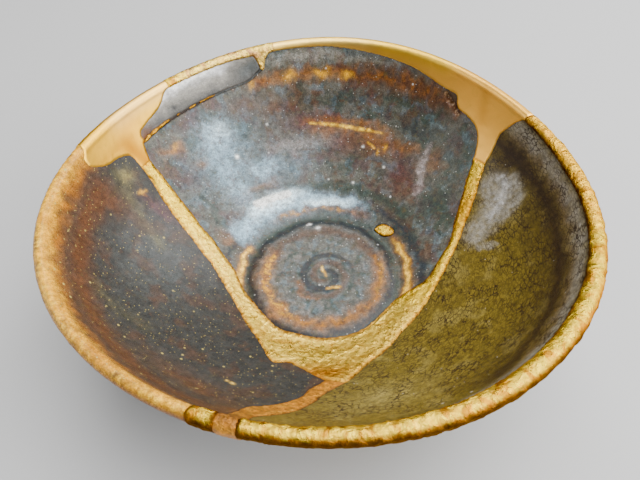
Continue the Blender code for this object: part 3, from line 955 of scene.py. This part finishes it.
def well_marks(flat):
    """The rings of the well, with painted highlights on the shelf at the back and painted shade on it at
    the sides.
    """
    at = ragged(flat)
    streaks = 0.75 + 0.5 * noise_at(at, 1.2, 36)
    _, share = turn_and_share(at)
    disc = 1 - fade(share, 0.2, 0.29)
    ridge = thrown(flat) / SPIRAL_HEIGHT
    return [
        # The dark ink arcs on the shelf at the right and the left paint the shade along the step of the
        # well.
        ("ink", 0.85, arc(at, 0.445, 1.0, 330, 50)), ("teal", 0.8, arc(at, 0.5, 1.4, 30, 100)),
        ("ink", 0.85, arc(at, 0.44, 0.55, 148, 195)), ("slate", 0.85, 1 - fade(share, 0.36, 0.4)),
        ("teal", 0.85, arc(at, 0.345, 1.6)), ("blue", 0.85, arc(at, 0.42, 1.8, 55, 150)),
        # At the back of the well the pale blue, icy and white arcs and spots on the shelf are painted
        # highlights.
        ("bloom_and_sheen", 0.9, arc(at, 0.455, 2.2, 92, 150)), ("ice", 1.0, arc(at, 0.475, 1.5, 98, 132)),
        ("bloom_and_sheen", 0.9, arc(at, 0.445, 1.1, 62, 104)), ("ice", 0.8, arc(at, 0.43, 0.6, 66, 98) * streaks),
        ("white", 0.9, spot(at, 119, 0.487, 2.6, 0.8)), ("ice", 0.8, spot(at, 86, 0.425, 2.4, 0.6)),
        ("ink", 0.5, arc(at, 0.465, 0.4, 60, 92)), ("rust", 0.6, arc(at, 0.4, 0.7, 54, 122) * streaks),
        ("amber", 0.4, arc(at, 0.4, 0.4, 70, 118) * patches(at, 1.2, 37, 0.1)),
        ("ink", 0.9, arc(at, 0.318, 0.8)), ("rust", 0.95, arc(at, 0.387, 1.1, 331, 27)),
        ("rust", 0.95, arc(at, 0.377, 1.0, 148, 200)),
        ("amber", 0.95, arc(at, 0.387, 0.7, 334, 24) * streaks),
        ("amber", 0.95, arc(at, 0.377, 0.65, 150, 195)),
        ("straw", 0.9, arc(at, 0.384, 0.4, 334, 24) * streaks),
        ("straw", 0.95, arc(at, 0.375, 0.4, 152, 192) * streaks),
        ("stone", 0.8, 1 - fade(share, 0.27, 0.3)), ("teal", 0.8, disc * patches(at, 1.4, 39)),
        ("lilac", 0.2, disc * patches(at, 1.3, 43, -0.1)), ("blue", 0.3, disc * patches(at, 1.6, 38)),
        ("ink", 0.85, disc * fade(-ridge, 0.1, 0.8)), ("brown", 0.55, disc * fade(ridge, 0.1, 0.9)),
        ("rust", 0.75, arc(at, 0.257, 1.7, 140, 226) * streaks),
        ("rust", 0.75, arc(at, 0.262, 1.5, 216, 22) * streaks),
        ("sienna", 0.8, arc(at, 0.255, 1.1, 146, 226) * (0.25 + 0.75 * patches(at, 1.1, 44, -0.1))),
        ("sienna", 0.6, arc(at, 0.262, 1.2, 216, 322) * (0.2 + 0.8 * patches(at, 1.5, 44, 0.05))),
        ("sienna", 0.6, arc(at, 0.27, 1.0, 316, 22) * (0.2 + 0.8 * patches(at, 1.3, 46, 0.1))),
        ("brown", 0.6, arc(at, 0.26, 1.2, 20, 150)),
        ("amber", 1.0, arc(at, 0.25, 0.7, 146, 240) * patches(at, 0.8, 40, 0.1)),
        ("amber", 0.6, arc(at, 0.27, 0.5, 335, 10) * patches(at, 1, 42, 0.1)),
        ("ink", 0.6, stroke(at, 0.5, (152, 0.06), (192, 0.085), (238, 0.095), (285, 0.085))),
        ("rust", 0.5, stroke(at, 0.5, (195, 0.11), (230, 0.135), (262, 0.14))),
        ("teal", 0.6, stroke(at, 0.5, (30, 0.12), (0, 0.14), (330, 0.15), (300, 0.15))),
    ]


FLAKE = ((44.5, 0.912), (41.7, 0.9), (38.6, 0.888))


def crisp_marks(flat):
    """The small crisp marks: the thin amber line, pinholes, the broken corner and painted highlights along
    the shelf of the well.
    """
    at = flat + 0.2 * noise_pair(flat, 1.0, 14, 21)
    line = stroke(at, 0.3, (86, 0.755), (82, 0.752), (73.6, 0.746), (67, 0.744))
    for ends in (((90, 0.758), (86, 0.755)), ((67, 0.744), (61, 0.747))):
        line += 0.6 * stroke(at, 0.22, *ends)
    pinholes = ((121.3, 0.711, 0.45), (67.8, 0.681, 0.3), (55.9, 0.624, 0.22), (105.7, 0.781, 0.25),
                (89.7, 0.278, 0.42), (96.6, 0.314, 0.36), (68.6, 0.528, 0.22), (99.5, 0.31, 0.2))
    pale = sum(spot(at, bearing, share, size, size) for bearing, share, size in pinholes)
    loose = flat + 0.4 * noise_pair(flat, 0.9, 15, 22)
    curl = stroke(loose, 0.24, (84, 0.05), (354, 0.02)) + 1.5 * spot(flat, 315, 0.099, 0.3, 0.3)
    curl += stroke(loose, 0.24, (288, 0.075), (303, 0.08), (316, 0.1))
    broken = fade(stroke(at, 0.8, *FLAKE), 0.4, 0.6)
    # gleam and shelf are a white and an icy stroke that paint highlights along the shelf of the well.
    gleam = fade(stroke(at, 0.9, (125, 0.503), (116, 0.497), (106, 0.49)), 0.25, 0.6)
    shelf = fade(stroke(at, 0.4, (90, 0.418), (80, 0.42), (71, 0.424)), 0.3, 0.7)
    flecks = spot(at, 61, 0.672, 0.3, 0.6) + spot(at, 58.5, 0.7, 0.3, 0.7)
    flecks += stroke(at, 0.25, (66, 0.7), (63, 0.685))
    return [
        ("amber", 1.0, line * (0.5 + patches(at, 1.5, 16, 0.3))),
        ("butter", 0.9, line * patches(at, 1.1, 17, 0.1)), ("amber", 0.95, curl),
        ("straw", 0.8, curl * patches(at, 0.5, 19, 0.1)), ("white", 0.95, pale), ("white", 0.9, gleam),
        ("ice", 0.7, shelf), ("brown", 0.95, broken), ("clay", 0.8, broken * patches(at, 0.5, 20, -0.05)),
        ("amber", 0.8, flecks),
    ]


# %% The outside of the first pot
def outside_marks(flat, at):
    """Dark glaze that ran in streaks, thinner and warmer under the lip."""
    around = flat * (1.2 / np.maximum(np.hypot(*flat.T), 1))[:, None]
    lip = fade(at[:, 2], CUP_HEIGHT - 6, CUP_HEIGHT - 1)
    return [("umber", 0.8, 0.5 + noise_at(around, 0.06, 31)),
            ("brown", 0.5, fade(noise_at(flat, 7, 32), 0, 0.5)),
            ("rust", 0.7, lip * (0.6 + 0.4 * noise_at(flat, 2, 33)))]


def bare_foot(flat, at):
    """1 where the clay is bare, under and just above the foot ring, with a wavy border."""
    high = at[:, 2] + 0.9 * noise_at(flat, 9, 34) + 0.3 * noise_at(flat, 2, 35)
    return 1 - fade(high, 6.4, 6.9)


def run_down(flat, stretch):
    """Coordinates for streaks: a stretch below 1 draws them out along the wall, above 1 round it."""
    along, turn = polar(flat)
    far = np.interp(along, INSIDE.along, INSIDE.points[:, 0])
    return np.stack((far * np.cos(turn), far * np.sin(turn), along * stretch), axis=1)


def dressed(flat, gap, colour, gloss, specks, clay, stretch=0.5):
    """The values that a glaze reads at each vertex. The glaze is dark and dull right at a break."""
    at_break = (1 - fade(gap, 0.02, 0.3)) * (1 - clay)
    colour = colour * (1 - 0.8 * at_break)[:, None] + TONES["umber"] * (0.8 * at_break)[:, None]
    values = (gloss + 0.4 * at_break, specks, clay)
    finish = np.stack([np.broadcast_to(value, len(flat)) for value in values], axis=1)
    return {"paint": with_alpha(colour), "finish": finish, "run": run_down(flat, stretch)}


def outside_dress(flat, gap, at, base, marks):
    """The dress of an outside: glaze down to a wavy border, and bare clay under it."""
    clay = bare_foot(flat, at)
    return dressed(flat, gap, painted(flat, base, marks), 0.3 + 0.45 * clay, 0.3, clay)


def foot_paint(flat, inside, gap, at):
    """The dress of the foot sherd."""
    if inside:
        colour = painted(flat, "stone", wall_marks(flat) + well_marks(flat) + crisp_marks(flat))
        return dressed(flat, gap, colour, 0.38, 1.0, 0.0)
    return outside_dress(flat, gap, at, "smoke", outside_marks(flat, at))


# %% Make the foot sherd
OUTER_SPACING = {"foot_sherd": 0.8, "left_sherd": 0.8, "right_sherd": 0.8}


def foot_relief(flat, inside, gap):
    """The sherd's relief, with a pocket for the gold dab and a missing flake at the right corner."""
    raised = sherd_relief(flat, inside, gap)
    if inside:
        chip = closed_round("well_chip_fill")
        near = distance_to(flat, tree_of(np.concatenate((chip, (chip + chip.mean(axis=0)) / 2))))
        flake = fade(stroke(flat, 0.8, *FLAKE), 0.4, 0.6) * (0.6 + 0.4 * noise_at(flat, 0.8, 8))
        raised = raised - 0.45 * flake - 0.4 * (1 - fade(near, 0.1, 0.4))
    return raised


def placed(name, node, finish, line, spacing, relief, paint, depth=None):
    """Makes a skin, gives it its finish and puts it in place of the frame's solid."""
    piece = skin(name, line, spacing, OUTER_SPACING.get(node, 0.5), relief, paint, depth)
    piece.data.materials.append(MATERIALS[finish])
    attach(piece, "root")
    if node:
        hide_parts(node)


placed("mottled_sherd", "foot_sherd", "mottled_glaze", closed_round("foot_sherd"), 0.3,
       foot_relief, foot_paint)

# %% [markdown]
# ## The left sherd
#
# The left sherd is the same glaze where it ran thick: dark and smooth, with many fine pale specks. It thins
# to amber under the lip and to pale gold on top of it. A soft sheen on the wall and small highlights on the
# lip's beads are painted in.


# %% The left sherd
def beaded(flat, mean, seed):
    """How the gloss and colour of the lip break up into beads."""
    return mean + 0.5 * noise_at(flat, 0.9, seed) + 0.3 * noise_at(flat, 3, seed + 1)


def left_marks(flat):
    """The streaks on the left wall, a painted sheen on it, and the amber and gold of its lip with painted
    highlights.
    """
    at = ragged(flat)
    streaks = 0.7 + 0.6 * noise_at(at, 2.2, 41)
    beads = beaded(flat, 0.75, 45)
    return [
        # The lighter slate patch on the wall paints a soft sheen on the dark glaze.
        ("slate", 0.5, spot(at, 178, 0.68, 12, 8) * streaks),
        ("moss", 0.6, stroke(at, 1.5, (160, 0.88), (163, 0.83), (168, 0.76), (172, 0.69)) * streaks),
        ("moss", 0.35, stroke(at, 1.3, (196, 0.87), (203, 0.82), (209, 0.77)) * streaks),
        ("brown", 0.3, patches(at, 5, 43, -0.1)), ("plum", 0.8, spot(at, 160, 0.74, 1.6, 4.5)),
        ("moss", 0.3, spot(at, 160, 0.86, 3.5, 2.5)), ("brown", 0.7, spot(at, 168, 0.86, 3, 4)),
        ("brown", 0.5, spot(at, 235, 0.8, 12, 3)), ("brown", 0.85, arc(at, 0.895, 2.4, 165, 264)),
        ("rust", 1.0, arc(at, 0.94, 1.8, 163, 264) * streaks), ("rust", 0.8, spot(at, 255, 0.85, 5, 1.8)),
        ("amber", 0.9, arc(at, 0.975, 1.3, 161, 264) * beads),
        ("honey", 1.0, arc(at, 1.022, 1.45, 158, 264) * beads),
        # The butter patches on top of the lip paint small highlights on the beads of glaze.
        ("butter", 0.6, arc(at, 1.04, 1.2, 158, 264) * patches(flat, 0.8, 50)),
        ("rust", 0.5, spot(at, 224, 1.0, 7, 2)), ("deep", 0.4, arc(at, 0.995, 1.4, 158, 264) * streaks),
        ("amber", 0.9, spot(at, 158.6, 0.812, 0.6, 0.4)),
        ("rust", 0.5, stroke(at, 0.45, (158.8, 0.8), (160, 0.765)) * patches(at, 0.8, 44, 0.1)),
        ("sand", 0.5, spot(at, 158, 0.87, 1.3, 1.2)),
        ("straw", 0.9, spot(flat, 239.9, 0.704, 0.45, 0.3) + spot(flat, 238, 0.704, 0.25, 0.25)),
    ]


def left_paint(flat, inside, gap, at):
    """The dress of the left sherd, glossier at the lip."""
    if inside:
        _, share = turn_and_share(flat)
        lip = fade(share, 0.9, 1.0)
        colour = painted(flat, "smoke", left_marks(flat))
        return dressed(flat, gap, colour, 0.34 - 0.14 * lip, 1.0 + lip, 0.0)
    beads = beaded(flat, 0.7, 47)
    rim = [("rust", 0.9, fade(at[:, 2], CUP_HEIGHT - 5, CUP_HEIGHT - 2)),
           ("honey", 0.9, fade(at[:, 2], CUP_HEIGHT - 1.9, CUP_HEIGHT - 0.6) * beads)]
    return outside_dress(flat, gap, at, "smoke", outside_marks(flat, at) + rim)


def left_relief(flat, inside, gap):
    """The sherd's relief, with small beads of glaze along the lip."""
    far = np.hypot(*flat.T) - (TIP if inside else OUTSIDE.length)
    beads = 0.06 * noise_at(flat, 0.8, 49) * fade(far, -4, -1.5) * (far < -0.01)
    return sherd_relief(flat, inside, gap) + beads


placed("dark_sherd", "left_sherd", "dark_glaze", closed_round("left_sherd"), 0.38, left_relief, left_paint)

# %% [markdown]
# ## The olive sherd
#
# The olive sherd comes from another pot. Its glaze is clear and crackled over a brown slip: a dark band
# shows under the lip, a grey edge above it, and a grey sheen beside the seam, painted as a pale patch.


# %% The olive sherd
def sheen_patch(flat):
    """How strongly the painted grey sheen shows at each point, beside the seam."""
    at = ragged(flat)
    patch = stroke(at, 3.4, (13, 0.8), (8, 0.8), (1, 0.68))
    patch += 0.8 * stroke(at, 1.8, (9, 0.86), (4, 0.85), (2, 0.79))
    return fade(patch, 0.15, 0.9)


def right_marks(flat):
    """The bands of the olive sherd, its painted grey sheen and the crust beside its gilding."""
    at = ragged(flat)
    streaks = 0.7 + 0.6 * noise_at(at * np.array((1, 2.5)), 2.0, 51)
    grain = 0.7 + 0.6 * noise_at(flat, 0.8, 52)
    crust = distance_to(flat, tree_of(followed("right_lip"))) + 0.5 * noise_at(flat, 1.2, 54)
    return [
        ("sand", 0.65, spot(at, 284, 0.74, 9, 4) * streaks), ("sand", 0.3, patches(at, 5, 53, -0.1)),
        ("umber", 0.55, arc(at, 0.86, 4.0, 296, 20) * streaks),
        ("umber", 0.9, arc(at, 0.895, 1.7, 300, 24)), ("umber", 0.5, spot(at, 17, 0.88, 4, 4)),
        # The pewter patch and the silver and pewter strokes beside the seam paint a grey sheen on the
        # glaze.
        ("pewter", 0.95, sheen_patch(flat) * grain),
        ("silver", 0.4, stroke(at, 1.0, (13.5, 0.84), (9, 0.83), (4, 0.75)) * grain),
        ("pewter", 0.7, fade(stroke(at, 1.1, (355, 0.675), (353, 0.72)), 0.35, 0.6) * grain),
        ("pewter", 0.85, arc(at, 0.935, 1.6, 290, 22) * (0.5 + 0.5 * streaks)),
        ("pewter", 0.5, arc(at, 0.93, 1.2, 258, 296)),
        ("plum", 0.35, arc(at, 0.92, 1.2, 300, 20) * streaks), ("umber", 0.7, 1 - fade(crust, 0.1, 0.7)),
    ]


def right_paint(flat, inside, gap, at):
    """The dress of the olive sherd, with a fainter crackle under the painted sheen."""
    if inside:
        net = 1 - 0.7 * sheen_patch(flat)
        return dressed(flat, gap, painted(flat, "olive", right_marks(flat)), 0.36, net, 0.0, 1.8)
    rim = [("umber", 0.8, fade(at[:, 2], CUP_HEIGHT - 5, CUP_HEIGHT - 1))]
    return outside_dress(flat, gap, at, "olive", rim)


placed("olive_sherd", "right_sherd", "olive_glaze", closed_round("right_sherd"), 0.38,
       sherd_relief, right_paint)


# %% The grey sherd in the lip
def lip_marks(flat):
    """The grey glaze with a painted silver and white highlight along its top, dark at its foot and at its
    right end.
    """
    at = ragged(flat)
    _, share = turn_and_share(at)
    return [
        ("smoke", 0.95, 1 - fade(share, 0.9, 0.945)), ("brown", 0.85, spot(at, 145, 0.905, 3.0, 1.8)),
        ("rust", 0.4, spot(at, 146, 0.9, 1.6, 1.0)),
        # The silver and white arcs paint a highlight along the top of the sherd.
        ("silver", 1.0, arc(at, 0.955, 1.3, 114, 141) * (0.75 + 0.4 * noise_at(at, 0.8, 55))),
        ("white", 1.0, arc(at, 0.957, 0.8, 118, 137)), ("smoke", 0.85, arc(at, 0.93, 3.0, 97, 112, 10)),
        ("slate", 0.8, spot(at, 107, 0.93, 3, 1.6)), ("black", 0.8, spot(at, 132.5, 0.915, 0.5, 0.3)),
    ]


def lip_paint(flat, inside, gap, at):
    """The dress of the grey sherd in the lip."""
    if inside:
        return dressed(flat, gap, painted(flat, "pewter", lip_marks(flat)), 0.3, 0.6, 0.0, 3.0)
    return outside_dress(flat, gap, at, "smoke", outside_marks(flat, at))


placed("grey_lip_sherd", "lip_sherd", "grey_glaze", closed_round("lip_sherd"), 0.3, sherd_relief, lip_paint)

# %% [markdown]
# ## The fills
#
# A fill is lacquer putty, pressed through the gap and finished a little proud of the glaze, over which it
# laps by a hair. Its height rises from under the glaze at its border to a soft crown, so the border that
# shows is the uneven line where lacquer and glaze meet, as on the real mend.

# %% The relief and the colours of the fills
LAP = 0.16
ROUGH_LAP = 0.28
SUNK = 0.06


def fill_relief(crown, rise, lump, width):
    """The heights of a fill: sunk at its border, then a crown with lumps about as wide as width."""
    def relief(flat, inside, gap):
        lumps = noise_at(flat, width, 61) + 0.6 * noise_at(flat, width / 2.7, 62)
        border = fade(gap + 2 * lump * noise_at(flat, 0.6, 63), 0, rise)
        return -SUNK + border * (SUNK + crown + lump * lumps)
    return relief


def fill_dress(flat, base, marks):
    """The values that gold and lacquer read at each vertex."""
    return {"paint": with_alpha(painted(flat, base, marks))}


def satin_left(flat, inside, gap, at):
    """The satin gold at the left, darker down its neck, with a faint painted highlight along the lip."""
    everywhere = np.ones(len(flat))
    marks = [("warm", 0.6, everywhere), ("amber", 0.3, everywhere),
             ("warm", 0.7, spot(flat, 148, 0.93, 4, 3)),
             ("sienna", 0.85, stroke(flat, 2.8, (151, 0.9), (149.5, 0.86))),
             # The faint white arc paints a highlight along the top of the lip.
             ("deep", 0.3, arc(flat, 0.92, 1.2, 150, 165)), ("white", 0.14, arc(flat, 0.99, 2.2, 112, 152))]
    return fill_dress(flat, "pale", marks)


def satin_right(flat, inside, gap, at):
    """The satin gold at the right and along the back of the lip, with a faint painted highlight at the
    back.
    """
    marks = [("pale", 0.7, arc(flat, 1.0, 2.4, 45, 100)),
             ("deep", 0.25, stroke(flat, 1.5, (33, 0.97), (30, 0.9))),
             # The faint white arc paints a highlight on the back of the lip.
             ("white", 0.12, arc(flat, 1.0, 2.2, 70, 102, 10))]
    return fill_dress(flat, "tan", marks)


def seam_paint(flat, inside, gap, at):
    """The rough gold of the seam, with dull borders, a painted green reflection at the front of the well
    and a faint painted highlight.
    """
    rough = patches(ragged(flat), 1.1, 71)
    border = gap + 0.25 * noise_at(flat, 0.7, 75)
    # The green over the crescent at the front of the well is a painted reflection, and the faint white from
    # the left round the front is a painted highlight.
    crescent = spot(flat, 258, 0.42, 8, 2.4) + spot(flat, 215, 0.37, 2, 3) + spot(flat, 322, 0.4, 5, 1.0)
    marks = [("white", 0.06, sector(flat, 160, 330, 10)), ("deep", 0.25, rough),
             ("green", 0.4, crescent * (0.6 + 0.5 * rough)),
             ("deep", 0.85, spot(flat, 268, 0.54, 5, 2.4)),
             ("deep", 0.5, stroke(flat, 3, (10, 0.62), (15, 0.72))),
             ("deep", 0.6, 1 - fade(border, 0.3, 0.9)), ("russet", 0.8, 1 - fade(border, 0.08, 0.4))]
    return fill_dress(flat, "pale", marks)


def gilding_paint(flat, inside, gap, at):
    """The rough gold on the lip, which ends in a wavy border on the outside, darkened there also as painted
    shade, with a faint painted highlight at the back.
    """
    rough = patches(ragged(flat), 1.3, 72)
    border = gap + 0.5 * noise_at(flat, 1.0, 76) + 0.5 * noise_at(flat, 3.2, 79)
    front = sector(flat, 240, 318, 14)
    right = sector(flat, 240, 25, 14)
    # down grows down the outside of the lip; the deep and umber marks on it are where the gold ends, and
    # they also paint the shade on the outer lip.
    down = OUTSIDE.length - np.hypot(*flat.T) + 0.5 * noise_at(flat, 1.5, 77) + 0.8 * front
    darker = 1 - fade(border, 0.1 + 0.2 * right, 0.5 + 0.7 * right)
    crumbs = patches(ragged(flat), 1.0, 78, -0.2) * inside * (1 - fade(border, 0.8, 2.0))
    marks = [("green", 0.3, sector(flat, 300, 25, 25)), ("honey", 0.5, rough),
             ("deep", 0.75, patches(ragged(flat), 1.8, 74, -0.05)), ("russet", 0.5, crumbs),
             ("warm", 0.6, arc(flat, 1.0, 4, 340, 20)), ("russet", 0.4 + 0.55 * right, darker),
             # The faint white arc at the back paints a highlight.
             ("white", 0.12, arc(flat, 1.0, 5, 96, 128)),
             ("deep", 0.9, (not inside) * fade(down, 0.0, 0.9)),
             ("umber", 0.9, (not inside) * fade(down, 0.6, 1.8))]
    return fill_dress(flat, "pale", marks)


def lacquer_paint(flat, inside, gap, at):
    """The warm lacquer of the front seam, redder at its borders and its lip."""
    marks = [("warm", 0.2, patches(ragged(flat), 1.5, 73)), ("russet", 0.8, 1 - fade(gap, 0, 0.5)),
             ("russet", 0.6, spot(flat, 251, 0.92, 5, 4)), ("rust", 0.7, spot(flat, 251, 1.0, 6, 2.5))]
    return fill_dress(flat, "lacquer", marks)


# %% Make the fills
FILLS = (
    ("satin_patch_left", "left_lip_fill", "satin_gold", 0.26, (0.09, 0.4, 0.02, 4.0), satin_left),
    ("satin_patch_right", "right_lip_fill", "satin_gold", 0.26, (0.09, 0.4, 0.02, 4.0), satin_right),
    ("gold_seam_round_well", "well_seam", "rough_gold", 0.22, (0.34, 1.0, 0.13, 1.2), seam_paint),
    ("lacquer_seam_front", "front_seam", "orange_lacquer", 0.26, (0.2, 0.7, 0.1, 1.3), lacquer_paint),
    ("gold_lip_right", "right_lip_gilding", "rough_gold", 0.25, (0.16, 0.7, 0.17, 2.0), gilding_paint),
    ("gold_lip_back", "back_lip_gilding", "rough_gold", 0.22, (0.16, 0.5, 0.1, 1.3), gilding_paint),
    ("gold_bit_front", "front_chip_fill", "rough_gold", 0.2, (0.2, 0.5, 0.08, 1.2), gilding_paint),
    ("gold_dab_in_well", "well_chip_fill", "rough_gold", 0.16, (0.16, 0.4, 0.08, 0.8), seam_paint),
)
for name, node, finish, spacing, height, paint in FILLS:
    lap = ROUGH_LAP if finish == "rough_gold" else LAP
    placed(name, node, finish, grown(closed_round(node), lap), spacing, fill_relief(*height), paint,
           CHIP_DEPTH if node == "well_chip_fill" else None)
print(len(FILLS), "fills laid")

# %% [markdown]
# ## The crack under the grey sherd
#
# Under the grey sherd the crack is closed: dark lacquer lies in it, with a fine line and a few dots of gold
# left on top. They are too thin to be solids of their own, so they are made here as narrow bands along the
# crack.

# %% Lacquer and remains of gold in the crack
REMAINS = (
    (0.45, (146.8, .894), (144, .898), (140, .9005), (135.5, .902)), (0.34, (133.2, .902), (131.8, .903)),
    (0.45, (128.5, .902), (126, .903)), (0.24, (125.4, .9035), (122, .904), (119.4, .905)),
)
WHOLE_CRACK = ((147.4, .8955), (144, .8975), (127, .9025), (108, .9065), (102.9, .925))


def band_round(half, taper, ends):
    """A closed outline, half a band's width to either side of a line of places, with tapering ends."""
    line = followed(ends)
    ends_off = np.minimum(np.arange(len(line)), np.arange(len(line))[::-1]) * STEP
    swell = half * (0.8 + 0.4 * noise_at(line, 1.1, 81)) * (0.35 + 0.65 * fade(ends_off, 0, taper))
    aside = to_the_right(directions(line)) * swell[:, None]
    return bridged(np.concatenate((line + aside, (line - aside)[::-1])))


def dark_paint(flat, inside, gap, at):
    """The dark lacquer in the crack, greyer towards the right."""
    return fill_dress(flat, "umber", [("slate", 0.7, sector(flat, 98, 124, 8))])


placed("lacquer_in_crack", None, "orange_lacquer", band_round(0.2, 0.3, WHOLE_CRACK), 0.2,
       fill_relief(-0.02, 0.1, 0.01, 0.8), dark_paint, 1.2)
for number, (half, *ends) in enumerate(REMAINS, 1):
    placed("gold_in_crack_%d" % number, None, "rough_gold", band_round(half, 1.2, ends), 0.15,
           fill_relief(0.14, 0.2, 0.03, 0.8), seam_paint, 0.3)
print(len(REMAINS), "remains of gold")

# %% [markdown]
# ## Floor, light and camera
#
# The camera looks down at 50 degrees from close by, a little rolled. The floor is plain and pale. Gloss
# needs something to show, so six soft panels stand round the cup: the window at the right front and one
# overhead are the strongest.

# %% Floor
floor_mesh = bpy.data.meshes.new("floor")
FLOOR_HALF = 1.5
floor_corners = [(x * FLOOR_HALF, y * FLOOR_HALF, 0) for x, y in ((-1, -1), (1, -1), (1, 1), (-1, 1))]
floor_mesh.from_pydata(floor_corners, [], [(0, 1, 2, 3)])
floor = bpy.data.objects.new("floor", floor_mesh)
bpy.context.collection.objects.link(floor)
floor_finish = Finish("pale floor", Base_Color=opaque((0.45, 0.45, 0.45)), Roughness=0.7)
floor_mesh.materials.append(floor_finish.material)
print("floor laid")

# %% Light
MIDDLE = Vector((AXIS[0], AXIS[1], CUP_HEIGHT * 0.6)) * METRE


def panel(name, bearing, height, away, size, power):
    """A soft square light panel, placed by bearing and height in degrees, facing the cup."""
    light = bpy.data.lights.new(name, "AREA")
    light.shape = "SQUARE"
    light.size = size
    light.energy = power
    lamp = bpy.data.objects.new(name, light)
    turn, rise = math.radians(bearing), math.radians(height)
    back = Vector((math.cos(turn) * math.cos(rise), math.sin(turn) * math.cos(rise), math.sin(rise)))
    lamp.location = MIDDLE + back * away
    lamp.rotation_euler = back.to_track_quat("Z", "Y").to_euler()
    bpy.context.collection.objects.link(lamp)


PANELS = (
    ("window", -38, 27, 0.6, 0.5, 5.0), ("overhead", 10, 76, 0.6, 0.5, 6.6),
    ("right", -3, 16, 0.7, 0.4, 2.5), ("behind", 35, 35, 0.7, 0.32, 2.8),
    ("back", 92, 48, 0.7, 0.22, 1.1), ("left", 172, 30, 0.7, 0.4, 1.5),
)
for settings in PANELS:
    panel(*settings)
world = bpy.data.worlds.new("soft room")
world.use_nodes = True
world.node_tree.nodes["Background"].inputs["Color"].default_value = (1, 1, 1, 1)
world.node_tree.nodes["Background"].inputs["Strength"].default_value = 0.1
bpy.context.scene.world = world
print(len(PANELS), "panels lit")

# %% Camera
VIEW_HEIGHT = 49.88
VIEW_ROLL = -4.61
VIEW_AIM = (0.28, -13.18)
VIEW_AWAY = 85.4
FRAME_WIDTH = 640
FOCAL = 560

rise, roll = math.radians(VIEW_HEIGHT), math.radians(VIEW_ROLL)
back = Vector((0, -math.cos(rise), math.sin(rise)))
right = Vector((1, 0, 0))
up = back.cross(right)
rolled_right = right * math.cos(roll) + up * math.sin(roll)
rolled_up = up * math.cos(roll) - right * math.sin(roll)
aim = Vector((AXIS[0] + VIEW_AIM[0], AXIS[1] + VIEW_AIM[1], CUP_HEIGHT))
lens = bpy.data.cameras.new("camera")
lens.sensor_width = 36
lens.lens = lens.sensor_width * FOCAL / FRAME_WIDTH
camera = bpy.data.objects.new("camera", lens)
place = (aim + back * VIEW_AWAY) * METRE
camera.matrix_world = Matrix((
    (rolled_right.x, rolled_up.x, back.x, place.x),
    (rolled_right.y, rolled_up.y, back.y, place.y),
    (rolled_right.z, rolled_up.z, back.z, place.z),
    (0, 0, 0, 1),
))
lens.clip_start = 0.005
bpy.context.collection.objects.link(camera)
bpy.context.scene.camera = camera
print("the camera stands %.0f mm over the table" % (place.z / METRE))
